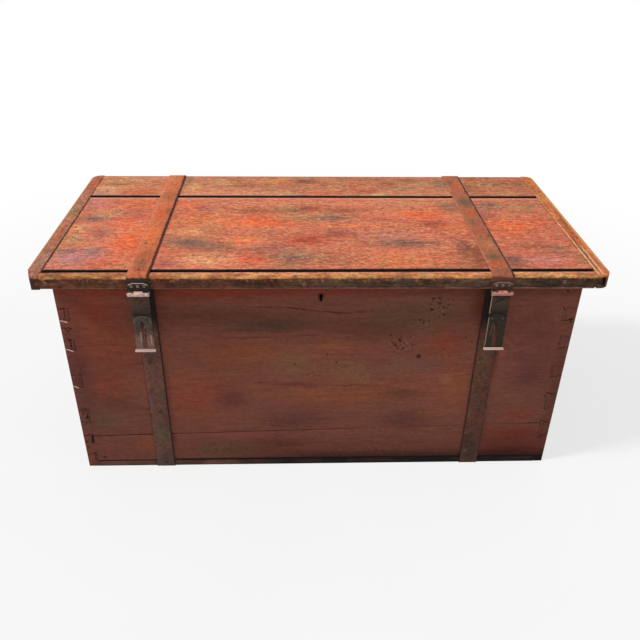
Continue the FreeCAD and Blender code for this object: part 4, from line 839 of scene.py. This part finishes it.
def front_edges(finish, colour):
    """Shade under the lid's edge, a black foot, a dark low right, and dirt in the open joints."""
    under = finish.step(finish.z, WALL_HIGH.z - 0.040, WALL_HIGH.z - 0.028)
    shade = finish.mix(finish.step(finish.x, 0.06, 0.20), (1.05, 0.70, 0.62), (0.82, 0.72, 0.70))
    colour = finish.tint(under, colour, shade)
    right = finish.step(finish.x, -0.34, -0.31)
    foot = finish.all_of(finish.step(finish.z, 0.0225, 0.0185), right)
    colour = finish.tint(foot, colour, (0.10, 0.10, 0.10))
    low = finish.all_of(finish.step(finish.z, 0.050, 0.020), finish.step(finish.x, -0.26, 0.02))
    colour = finish.tint(low, colour, (0.42, 0.34, 0.34))
    closed = finish.all_of(finish.step(finish.x, 0.03, 0.09), finish.step(finish.x, 0.47, 0.44),
                           finish.step(finish.z, 0.14, 0.13))
    seam = finish.all_of(finish.attribute("edge"), finish.maths("SUBTRACT", 1.0, closed))
    return finish.over(colour, SEAM_DIRT, seam, 0.85)


def front_paint(colours):
    finish = Finish("front_brown_paint")
    colour = front_face(finish, colours)
    inside = finish.step(finish.y, WALL_LOW.y + 0.019, WALL_LOW.y + 0.0205)
    colour = finish.mix(inside, colour, bare_wood(finish))
    relief(finish, (0.2, 1, 1), 0.25)
    return finish.done(colour, 0.74)


def wall_paint(colours, name, grain, ends, inner):
    """Brown-red paint outside and bare wood inside, where the wall passes inner. The end walls show
    their ends in the front, which are painted as the front is."""
    finish = Finish(name)
    colour = brushed_paint(finish, colours.front_brown, grain, 0.6, 0.45)
    colour = finish.mottled(colour, 0.15, grain, 1.6, 0.8, 0.8, 3, 31)
    finish.roughen(0.03, 0.012, grain)
    streaks = finish.step(finish.noise(0.010, [share ** 2 for share in grain], 3, seed=32), 0.52, 0.64)
    colour = finish.tint(finish.maths("MULTIPLY", streaks, 0.5), colour, (0.62, 0.56, 0.56))
    colour = rubbed(finish, colour, grain, 0.22, (0.30, 0.17, 0.10), WALL_DIRT)
    colour = finish.over(colour, SEAM_DIRT, finish.attribute("edge"), 0.8)
    place = finish.maths("ABSOLUTE", finish.x) if ends else finish.y
    inside = finish.step(place, inner + 0.0015, inner + 0.0002)
    if ends:
        back = finish.step(finish.y, BACK_WALL_HIGH.y - 0.0005, BACK_WALL_HIGH.y - 0.0012)
        inside = finish.all_of(inside, back)
    colour = finish.mix(inside, colour, bare_wood(finish, grain))
    if ends:
        ahead = finish.step(finish.y, WALL_LOW.y + 0.0012, WALL_LOW.y + 0.0005)
        colour = finish.mix(ahead, colour, front_face(finish, colours))
    relief(finish, grain, 0.25)
    return finish.done(colour, 0.74)


def floor_wood():
    """Bare pine, with the grimy painted edges that show under the walls."""
    finish = Finish("floor_bare_pine")
    colour = finish.mottled(bare_wood(finish), 0.08, (0.4, 1, 1), 1.2, 0.3, 0.4, 3, 41)
    sides = [finish.step(finish.maths("ABSOLUTE", place), end - 0.003, end - 0.0015)
             for place, end in ((finish.x, WALL_HIGH.x), (finish.y, -WALL_LOW.y))]
    blotch = finish.step(finish.noise(0.02, (0.4, 1, 1), 3, seed=42), 0.4, 0.6)
    brown = finish.mix(blotch, (0.075, 0.034, 0.022), (0.13, 0.060, 0.042))
    black = finish.mix(blotch, (0.008, 0.005, 0.005), (0.026, 0.014, 0.012))
    grime = finish.mix(finish.step(finish.x, -0.25, -0.08), brown, black)
    grime = finish.mix(finish.step(finish.z, 0.0135, 0.0155), grime, GAP_SHADE_AND_GRIME)
    colour = finish.mix(finish.any_of(*sides), colour, grime)
    finish.bump(finish.noise(0.006, (0.06, 1, 1), 4), 0.4, 0.001)
    return finish.done(colour, 0.8)


# Iron

def forged(name, paint, rust, metallic, roughness, worn=(0.30, 0.25, 0.22)):
    """Hammered iron with rust freckles, rubbed brighter on its edges and high spots."""
    finish = Finish(name, 0.5 if metallic > 0.3 else 0.12)
    dents = finish.noise(0.009, detail=3)
    grit = finish.noise(0.0016, detail=4, rough=0.7)
    colour = finish.mix(finish.step(finish.noise(0.03, detail=4, seed=1), 0.42, 0.62), paint, rust)
    colour = finish.mottled(colour, 0.008, EVEN, 1.6, 0.8, 0.8, 2, 5)
    rubbed_edge = finish.maths("MULTIPLY", finish.attribute("edge"), 0.7)
    colour = finish.over(colour, worn, finish.any_of(finish.step(dents, 0.62, 0.74), rubbed_edge), 0.6)
    finish.bump(finish.maths("MULTIPLY_ADD", grit, 0.3, dents), 0.5, 0.001)
    return finish.done(colour, finish.maths("MULTIPLY_ADD", grit, 0.3, roughness - 0.15), metallic)


def painted_iron(name, left, right):
    """Nail heads painted over with the piece they hold; bare and dark where they face forward."""
    finish = Finish(name)
    colour = finish.mix(finish.step(finish.x, -0.1, 0.1), left, right)
    colour = finish.mottled(colour, 0.004, EVEN, 1.5, 0.6, 0.4, 2, 5)
    ahead = finish.step(finish.y, STRIP_LOW.y + 0.0012, STRIP_LOW.y + 0.0004)
    bare = finish.ramp(finish.noise(0.003, detail=3, seed=6),
                       [(0.35, (0.045, 0.026, 0.018)), (0.65, (0.24, 0.15, 0.10))])
    colour = finish.mix(ahead, colour, bare)
    finish.bump(finish.noise(0.002, detail=4, rough=0.7), 0.4, 0.0006)
    return finish.done(colour, 0.7)


def hasp_iron(name, low, high, tones, lines, lip_highlight=None, plate=0.0):
    """Hammered iron of a hasp. Tones run from its foot, 0, to its head, 1. Lines are across and up at
    both ends, width and colour; those that start below the height plate lie on the thickness of iron
    that stands before the rest."""
    finish = Finish(name, 0.18)
    finish.roughen(0.006, 0.004)
    up = finish.axes(finish.ragged)[2]
    share = finish.maths("DIVIDE", finish.maths("SUBTRACT", up, low), high - low)
    colour = finish.ramp(share, tones)
    colour = finish.mottled(colour, 0.007, EVEN, 1.5, 0.7, 0.5, 2, 5)
    colour = finish.mottled(colour, 0.003, EVEN, 1.6, 0.5, 0.4, 1, 6)
    finish.roughen(0.004, 0.0012)
    for start, end, width, tone in lines:
        face = HASP_FACE - (HASP_IRON if start[1] < plate else 0)
        mask = finish.stroke((start[0], face, start[1]), (end[0], face, end[1]), width)
        colour = finish.over(colour, tone, mask, 0.85)
    # The lip's top is painted pale: partly worn iron, partly painted highlight.
    if lip_highlight:
        ahead = finish.all_of(finish.step(finish.y, HASP_FACE - 0.0028, HASP_FACE - 0.0036),
                              finish.step(finish.z, low + 0.007, low + 0.005))
        colour = finish.mix(ahead, colour, lip_highlight)
    dents = finish.noise(0.006, detail=3)
    grit = finish.noise(0.0016, detail=4, rough=0.7)
    finish.bump(finish.maths("MULTIPLY_ADD", grit, 0.3, dents), 0.5, 0.001)
    return finish.done(colour, 0.65)


def band_iron(name, paint, stains, centre):
    """The painted straps on the wall, greyed and rusted, with dark iron and painted shade along their edges
    and a black painted shadow over their upper ends. Centre is their distance from the middle.
    """
    finish = Finish(name, 0.2)
    finish.roughen(0.01, 0.006)
    colour = finish.stained(paint, stains, upright=True)
    colour = finish.mottled(colour, 0.03, (1, 1, 0.6), 1.0, 0.7, 0.7, 3, 5)
    colour = finish.mottled(colour, 0.008, EVEN, 1.4, 0.6, 0.6, 2, 6)
    rust = finish.step(finish.noise(0.012, detail=4, rough=0.7, seed=7), 0.58, 0.66)
    colour = finish.over(colour, (0.17, 0.07, 0.035), rust, 0.6)
    # Dark iron and painted shade on the straps' sides and inner edges; above, a black painted shadow of the
    # hasps and the lid's edge.
    away = finish.maths("SUBTRACT", finish.maths("ABSOLUTE", finish.x), centre)
    edges = finish.any_of(finish.step(finish.maths("ABSOLUTE", away), 0.0190, 0.0202),
                          finish.step(away, -0.0176, -0.0192))
    hasp_shadow = finish.all_of(finish.step(finish.z, 0.355, 0.400), finish.step(finish.y, 0, -0.2))
    colour = finish.over(colour, (0.008, 0.005, 0.004), finish.any_of(edges, hasp_shadow), 0.93)
    finish.bump(finish.noise(0.004, detail=4, rough=0.65), 0.4, 0.001)
    return finish.done(colour, 0.68)


# Tones of the hanging hasps from foot to head, and of the leaves above them, with the colours of
# the pale lines on the leaf, of the rivets and of the staple. The pale tone at a hasp's head and at a
# leaf's foot, on the knuckles, is partly wear and partly painted highlight.
HASP_LOOKS = {
    "left": {
        "hang": [(0.00, (0.20, 0.115, 0.088)), (0.20, (0.155, 0.088, 0.066)), (0.34, (0.060, 0.042, 0.032)),
                 (0.56, (0.066, 0.047, 0.036)), (0.60, (0.022, 0.014, 0.010)), (0.66, (0.036, 0.021, 0.015)),
                 (0.80, (0.078, 0.036, 0.026)), (0.905, (0.066, 0.030, 0.021)), (0.92, (0.66, 0.42, 0.36))],
        "leaf": [(0.0, (0.64, 0.42, 0.36)), (0.30, (0.60, 0.40, 0.34)), (0.34, (0.020, 0.013, 0.009)),
                 (1.0, (0.030, 0.020, 0.014))],
        "shine": (0.60, 0.46, 0.38), "rivet": (0.080, 0.060, 0.048), "staple": (0.110, 0.060, 0.045),
    },
    "right": {
        "hang": [(0.00, (0.024, 0.018, 0.010)), (0.40, (0.024, 0.018, 0.010)), (0.62, (0.018, 0.013, 0.008)),
                 (0.72, (0.040, 0.022, 0.014)), (0.80, (0.066, 0.032, 0.020)), (0.905, (0.030, 0.018, 0.011)),
                 (0.92, (0.48, 0.19, 0.15))],
        "leaf": [(0.0, (0.46, 0.20, 0.16)), (0.30, (0.42, 0.18, 0.14)), (0.34, (0.050, 0.022, 0.015)),
                 (1.0, (0.080, 0.034, 0.022))],
        "shine": (0.36, 0.21, 0.16), "rivet": (0.050, 0.034, 0.024), "staple": (0.30, 0.15, 0.115),
    },
}


# The pale arc on a leaf, a painted highlight along its top edge: how far across from its middle, and how far
# below its top.
LEAF_ARC = ((-0.0175, 0.0048), (-0.010, 0.0016), (0.010, 0.0016), (0.0175, 0.0048))


def joined(points, width, tone):
    """Lines from each point to the next."""
    return [(start, end, width, tone) for start, end in zip(points, points[1:])]


def left_hasp_lines(low, middle):
    """A worn ring with painted shadow of the staple in it, black at the top of the slot, and two bright rubs
    beside the slot.
    """
    radius, height = 0.0165, low.z + 0.062
    angles = (0, 0.6, 1.2, 1.9, 2.5, 3.1)
    ring = [(middle + radius * math.cos(angle), height + radius * math.sin(angle)) for angle in angles]
    # Black for the staple's painted shadow at the top of the slot.
    black = (0.004, 0.003, 0.002)
    return joined(ring, 0.0012, (0.14, 0.105, 0.085)) + [
        ((middle - 0.001, low.z + 0.064), (middle + 0.001, low.z + 0.052), 0.0042, black),
        ((middle + 0.002, low.z + 0.056), (middle + 0.004, low.z + 0.046), 0.0024, black),
        ((middle - 0.006, low.z + 0.020), (middle - 0.0055, low.z + 0.042), 0.0020, (0.30, 0.21, 0.16)),
        ((middle + 0.013, low.z + 0.016), (middle + 0.0135, low.z + 0.034), 0.0022, (0.36, 0.22, 0.17)),
    ]


def right_hasp_lines(low, middle, head):
    """A pale left edge, partly worn and partly painted highlight, a dark dent under the head and a rub beside
    the slot.
    """
    edge = low.x + 0.0022
    return [
        # The pale left edge: partly wear, partly painted highlight.
        ((edge, low.z + 0.005), (edge, low.z + 0.078), 0.0013, (0.34, 0.20, 0.15)),
        ((edge, low.z + 0.081), (edge, head - 0.004), 0.0013, (0.38, 0.23, 0.17)),
        ((middle - 0.010, head - 0.028), (middle + 0.012, head - 0.014), 0.0030, (0.012, 0.010, 0.007)),
        ((low.x + 0.010, low.z + 0.030), (low.x + 0.012, low.z + 0.055), 0.0018, (0.080, 0.050, 0.030)),
    ]


# Sizes and colours

def colour_setting(name, description, value):
    return bpy.props.FloatVectorProperty(name=name, description=description, default=value, subtype="COLOR",
                                         size=3, min=0, max=1)


def length_setting(name, description, value):
    return bpy.props.FloatProperty(name=name, description=description, default=value, min=0,
                                   subtype="DISTANCE", unit="LENGTH", precision=4)


def angle_setting(name, description, degrees):
    return bpy.props.FloatProperty(name=name, description=description, default=math.radians(degrees),
                                   subtype="ANGLE", unit="ROTATION")


class TrunkColours(bpy.types.PropertyGroup):
    """Colours of the paint and the iron"""
    middle_red: colour_setting("Middle board", "Worn red of the lid's middle board", (0.62, 0.172, 0.094))
    back_red: colour_setting("Back board", "Worn red of the lid's back board", (0.565, 0.196, 0.104))
    left_batten: colour_setting("Left batten", "Worn red of the left batten", (0.40, 0.140, 0.084))
    right_batten: colour_setting("Right batten", "Ochre red of the right batten", (0.51, 0.139, 0.046))
    left_strap: colour_setting("Left strap", "Paint on the lid's left strap", (0.60, 0.150, 0.060))
    right_strap: colour_setting("Right strap", "Paint on the lid's right strap", (0.39, 0.115, 0.052))
    front_brown: colour_setting("Body brown", "Darker paint of the body", (0.158, 0.052, 0.034))
    left_band: colour_setting("Left band", "Painted iron of the left front strap", (0.126, 0.049, 0.035))
    right_band: colour_setting("Right band", "Painted iron of the right front strap", (0.088, 0.026, 0.016))
    dark_iron: colour_setting("Handle iron", "Bare dark iron of the handles", (0.07, 0.045, 0.035))
    rust: colour_setting("Rust", "Brown rust on the iron", (0.13, 0.055, 0.03))


class TrunkSizes(bpy.types.PropertyGroup):
    """How far wear has rounded the edges"""
    gap_round: length_setting("Gap edge", "Rounding of the lid boards along their gaps", 0.0045)
    batten_round: length_setting("Batten edge", "Rounding of the battens", 0.0012)
    board_round: length_setting("Joint edge", "Rounding of the walls' joints", 0.0006)
    iron_round: length_setting("Iron edge", "Rounding of the iron straps", 0.0005)


class TrunkView(bpy.types.PropertyGroup):
    """Camera and light"""
    stand: bpy.props.FloatVectorProperty(name="Camera place", description="Where the camera stands", size=3,
                                         default=(-0.0509, -1.4629, 1.1274), subtype="TRANSLATION",
                                         unit="LENGTH")
    yaw: angle_setting("Yaw", "Turn of the camera to the right", 2.36)
    pitch: angle_setting("Pitch", "Tilt of the camera from level", -31.47)
    roll: angle_setting("Roll", "Turn of the picture about its middle", 0.98)
    lens: bpy.props.FloatProperty(name="Lens", description="Focal length on a 36 mm wide frame",
                                  default=39.29, subtype="DISTANCE_CAMERA", min=1)
    sky: bpy.props.FloatProperty(name="Sky light", description="Strength of the even light from all round",
                                 default=0.5, min=0)
    key: bpy.props.FloatProperty(name="Key light", description="Strength of the soft lamp at the upper left",
                                 default=2.2, min=0)


# Camera, floor and light

def aim_camera(context, view):
    data = bpy.data.cameras.new("camera")
    data.lens = view.lens
    data.sensor_width = 36
    data.clip_start = 0.01
    camera = bpy.data.objects.new("camera", data)
    context.scene.collection.objects.link(camera)
    sin_yaw, cos_yaw = math.sin(view.yaw), math.cos(view.yaw)
    sin_pitch, cos_pitch = math.sin(view.pitch), math.cos(view.pitch)
    sin_roll, cos_roll = math.sin(view.roll), math.cos(view.roll)
    ahead = Vector((sin_yaw * cos_pitch, cos_yaw * cos_pitch, sin_pitch))
    level = Vector((cos_yaw, -sin_yaw, 0))
    down = ahead.cross(level)
    right = level * cos_roll - down * sin_roll
    below = level * sin_roll + down * cos_roll
    rows = [(right[i], -below[i], -ahead[i], view.stand[i]) for i in range(3)]
    camera.matrix_world = Matrix((*rows, (0, 0, 0, 1)))
    context.scene.camera = camera


def seen_rays(tree):
    """1 for the rays that should see the background white: camera, glossy and transmission rays."""
    rays = tree.nodes.new("ShaderNodeLightPath")
    result = rays.outputs["Is Camera Ray"]
    for kind in ("Is Glossy Ray", "Is Transmission Ray"):
        either = tree.nodes.new("ShaderNodeMath")
        either.operation = "MAXIMUM"
        tree.links.new(result, either.inputs[0])
        tree.links.new(rays.outputs[kind], either.inputs[1])
        result = either.outputs[0]
    return result


def join_shaders(tree, share, first, second):
    mix = tree.nodes.new("ShaderNodeMixShader")
    for socket, value in zip(mix.inputs, (share, first, second)):
        tree.links.new(value, socket)
    return mix.outputs[0]


def light_studio(context, view):
    world = bpy.data.worlds.new("studio")
    world.use_nodes = True
    context.scene.world = world
    tree = world.node_tree
    tree.nodes.clear()
    skies = []
    for strength in (view.sky, 1):
        sky = tree.nodes.new("ShaderNodeBackground")
        sky.inputs["Color"].default_value = (1, 1, 1, 1)
        sky.inputs["Strength"].default_value = strength
        skies.append(sky.outputs[0])
    seen = join_shaders(tree, seen_rays(tree), *skies)
    tree.links.new(seen, tree.nodes.new("ShaderNodeOutputWorld").inputs[0])
    lamp = bpy.data.lights.new("key", "SUN")
    lamp.angle = math.radians(10)
    lamp.energy = view.key
    key = bpy.data.objects.new("key", lamp)
    key.location = (-2, -0.4, 2)
    key.rotation_euler = Vector((0.70, 0.16, -0.70)).to_track_quat("-Z", "Y").to_euler()
    context.scene.collection.objects.link(key)


def lay_floor(context):
    form = bmesh.new()
    bmesh.ops.create_grid(form, x_segments=2, y_segments=2, size=12)
    mesh = bpy.data.meshes.new("floor")
    form.to_mesh(mesh)
    form.free()
    floor = bpy.data.objects.new("floor", mesh)
    context.scene.collection.objects.link(floor)
    finish = Finish("studio_floor")
    far = finish.step(finish.vector("LENGTH", finish.place), 0.9, 2.0)
    glow = finish.new("Emission")
    glow.inputs["Strength"].default_value = 1
    whiteness = finish.maths("MULTIPLY_ADD", far, 0.30, 0.70)
    share = finish.maths("MULTIPLY", seen_rays(finish.tree), whiteness)
    seen = join_shaders(finish.tree, share, finish.shader.outputs[0], glow.outputs[0])
    finish.tree.links.new(seen, finish.out.inputs[0])
    pale = finish.ramp(finish.noise(0.4, detail=2), [(0.3, (0.80, 0.80, 0.80)), (0.7, (0.84, 0.84, 0.84))])
    mesh.materials.append(finish.done(pale, 0.9))


# Operators

class TRUNK_OT_stage(bpy.types.Operator):
    """Sets the camera, the pale floor and the soft light"""
    bl_idname = "trunk.stage"
    bl_label = "Camera, floor and light"

    def execute(self, context):
        view = context.scene.trunk_view
        aim_camera(context, view)
        light_studio(context, view)
        lay_floor(context)
        context.scene.view_settings.view_transform = "Standard"
        return {"FINISHED"}


class TRUNK_OT_lid_boards(bpy.types.Operator):
    """Makes the lid's three boards, rounded along their gaps"""
    bl_idname = "trunk.lid_boards"
    bl_label = "Lid boards"

    def execute(self, context):
        colours, sizes = context.scene.trunk_colours, context.scene.trunk_sizes
        finishes = {"lid_front_strip": strip_paint, "lid_middle_board": middle_board_paint,
                    "lid_back_board": back_board_paint}
        for name, paint in finishes.items():
            worn_piece(name, paint(colours), sizes.gap_round, segments=3, least=0.1)
        return {"FINISHED"}


class TRUNK_OT_battens(bpy.types.Operator):
    """Makes the battens at the lid's ends"""
    bl_idname = "trunk.battens"
    bl_label = "Battens"

    def execute(self, context):
        colours, sizes = context.scene.trunk_colours, context.scene.trunk_sizes
        left = batten_paint(colours, -1, colours.left_batten, LEFT_BATTEN_STAINS, LEFT_BATTEN_LINES,
                            outer_rub=(0.44, 0.19, 0.075), front_end=(0.046, 0.022, 0.014))
        right = batten_paint(colours, 1, colours.right_batten, RIGHT_BATTEN_STAINS, RIGHT_BATTEN_LINES,
                             outer_rub=(0.62, 0.29, 0.10), front_end=(0.070, 0.044, 0.026))
        for name, paint in (("lid_batten_left", left), ("lid_batten_right", right)):
            worn_piece(name, paint, sizes.batten_round, least=0.02)
        return {"FINISHED"}


class TRUNK_OT_lid_straps(bpy.types.Operator):
    """Makes the two painted straps that bind the lid"""
    bl_idname = "trunk.lid_straps"
    bl_label = "Lid straps"

    def execute(self, context):
        colours, sizes = context.scene.trunk_colours, context.scene.trunk_sizes
        rows = (("lid_strap_left", colours.left_strap, LEFT_STRAP_STAINS, (0.040, 0.026, 0.019)),
                ("lid_strap_right", colours.right_strap, RIGHT_STRAP_STAINS, (0.115, 0.042, 0.030)))
        for name, red, stains, front_fall in rows:
            low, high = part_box(name)
            paint = strap_paint(name + "_paint", red, stains, (low.x + high.x) / 2, front_fall)
            worn_piece(name, paint, sizes.iron_round, least=0.02)
        return {"FINISHED"}


class TRUNK_OT_walls(bpy.types.Operator):
    """Makes the dovetailed walls, open along their joints, and the floor boards"""
    bl_idname = "trunk.walls"
    bl_label = "Walls and floor"

    def execute(self, context):
        colours, sizes = context.scene.trunk_colours, context.scene.trunk_sizes
        front = front_paint(colours)
        back = wall_paint(colours, "back_brown_paint", (0.3, 1, 1), False, BACK_WALL_LOW.y)
        ends = wall_paint(colours, "end_brown_paint", (1, 0.3, 1), True, WALL_HIGH.x - BOARD_THICK)
        sides = {"front_wall": front, "back_wall": back, "left_end": ends, "right_end": ends}
        for side, paint in sides.items():
            for name in (side + "_upper", side + "_lower"):
                worn_piece(name, paint, sizes.board_round)
        dress(floor_wood(), "floor_board_front", "floor_board_middle", "floor_board_back")
        return {"FINISHED"}


class TRUNK_OT_iron(bpy.types.Operator):
    """Finishes the wall straps, handles, lock and nails"""
    bl_idname = "trunk.iron"
    bl_label = "Ironwork"

    def execute(self, context):
        colours, sizes = context.scene.trunk_colours, context.scene.trunk_sizes
        low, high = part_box("front_strap_right")
        centre = (low.x + high.x) / 2
        left = band_iron("left_band_iron", colours.left_band, LEFT_BAND_STAINS, centre)
        right = band_iron("right_band_iron", colours.right_band, RIGHT_BAND_STAINS, centre)
        for side, iron in (("left", left), ("right", right)):
            for name in ("front_strap_" + side, "back_strap_" + side):
                worn_piece(name, iron, sizes.iron_round, least=0.02)
            dress(iron, "handle_eyes_" + side)
        dress(forged("handle_iron", colours.dark_iron, colours.rust, 0.6, 0.55),
              "handle_bail_left", "handle_bail_right")
        dress(forged("worn_iron", (0.25, 0.21, 0.19), colours.rust, 0.9, 0.4),
              "lid_hinge_pin_left", "lid_hinge_pin_right", "hasp_pin_left", "hasp_pin_right")
        dress(forged("lock_iron", (0.10, 0.075, 0.06), colours.rust, 0.7, 0.5),
              "lock_case", "lock_bolt", "lock_key_post", "lock_catch")
        dress(forged("nail_iron", (0.16, 0.085, 0.06), colours.rust, 0.5, 0.6),
              "floor_nails", "handle_nails", "back_strap_nails", "lock_nails", "lock_catch_nails")
        dress(painted_iron("board_nail_paint", colours.left_batten, colours.right_batten), "lid_nails")
        dress(painted_iron("strap_nail_paint", colours.left_strap, colours.right_strap), "lid_strap_nails")
        dress(forged("dark_nail", (0.050, 0.026, 0.020), (0.075, 0.036, 0.024), 0.0, 0.7,
                     (0.14, 0.075, 0.055)), "front_strap_nails")
        return {"FINISHED"}


class TRUNK_OT_hasps(bpy.types.Operator):
    """Makes the plates of the two hasps, bright on their knuckles and lips with wear and painted highlight,
    and worn bright on their rivets
    """
    bl_idname = "trunk.hasps"
    bl_label = "Hasps"

    def execute(self, context):
        sizes = context.scene.trunk_sizes
        for side, look in HASP_LOOKS.items():
            low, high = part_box("hasp_plate_" + side)
            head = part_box("hasp_link_" + side)[1].z
            middle = (low.x + high.x) / 2
            leaf_low, leaf_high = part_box("hasp_leaf_" + side)
            lines = left_hasp_lines(low, middle) if side == "left" else right_hasp_lines(low, middle, head)
            hang = hasp_iron(side + "_hasp_iron", low.z, head, look["hang"], lines,
                             lip_highlight=(0.62, 0.44, 0.37), plate=high.z)
            arc = [(middle + across, leaf_high.z - drop) for across, drop in LEAF_ARC]
            leaf = hasp_iron(side + "_leaf_iron", leaf_low.z, leaf_high.z, look["leaf"],
                             joined(arc, 0.0013, look["shine"]))
            for name, iron in (("hasp_link_", hang), ("hasp_plate_", hang), ("hasp_leaf_", leaf)):
                worn_piece(name + side, iron, sizes.iron_round, least=0.003)
            dress(forged(side + "_rivet_iron", look["rivet"], (0.060, 0.038, 0.028), 0.1, 0.6,
                         (0.16, 0.11, 0.085)), "hasp_rivets_" + side)
            dress(forged(side + "_staple_iron", look["staple"], (0.14, 0.06, 0.04), 0.3, 0.6),
                  "hasp_staple_" + side)
        dress(forged("leaf_rivet_iron", (0.20, 0.13, 0.10), (0.10, 0.065, 0.050), 0.2, 0.55,
                     (0.36, 0.26, 0.21)), "hasp_leaf_rivets")
        return {"FINISHED"}


# Panel

class TRUNK_PT_panel(bpy.types.Panel):
    """Sizes, colours and steps of the trunk"""
    bl_label = "Trunk"
    bl_idname = "TRUNK_PT_panel"
    bl_space_type = "VIEW_3D"
    bl_region_type = "UI"
    bl_category = "Trunk"

    def draw(self, context):
        scene = context.scene
        for group in (scene.trunk_colours, scene.trunk_sizes, scene.trunk_view):
            box = self.layout.box()
            for name in group.__annotations__:
                box.prop(group, name)
        for step in STEPS:
            self.layout.operator(step.bl_idname)


STEPS = (TRUNK_OT_stage, TRUNK_OT_lid_boards, TRUNK_OT_battens, TRUNK_OT_lid_straps, TRUNK_OT_walls,
         TRUNK_OT_iron, TRUNK_OT_hasps)
CLASSES = (TrunkColours, TrunkSizes, TrunkView, *STEPS, TRUNK_PT_panel)


def register():
    for kind in CLASSES:
        bpy.utils.register_class(kind)
    bpy.types.Scene.trunk_colours = bpy.props.PointerProperty(type=TrunkColours)
    bpy.types.Scene.trunk_sizes = bpy.props.PointerProperty(type=TrunkSizes)
    bpy.types.Scene.trunk_view = bpy.props.PointerProperty(type=TrunkView)


def unregister():
    del bpy.types.Scene.trunk_view
    del bpy.types.Scene.trunk_sizes
    del bpy.types.Scene.trunk_colours
    for kind in reversed(CLASSES):
        bpy.utils.unregister_class(kind)


def main():
    register()
    bpy.ops.trunk.stage()
    bpy.ops.trunk.lid_boards()
    bpy.ops.trunk.battens()
    bpy.ops.trunk.lid_straps()
    bpy.ops.trunk.walls()
    bpy.ops.trunk.iron()
    bpy.ops.trunk.hasps()


if __name__ == "__main__":
    main()
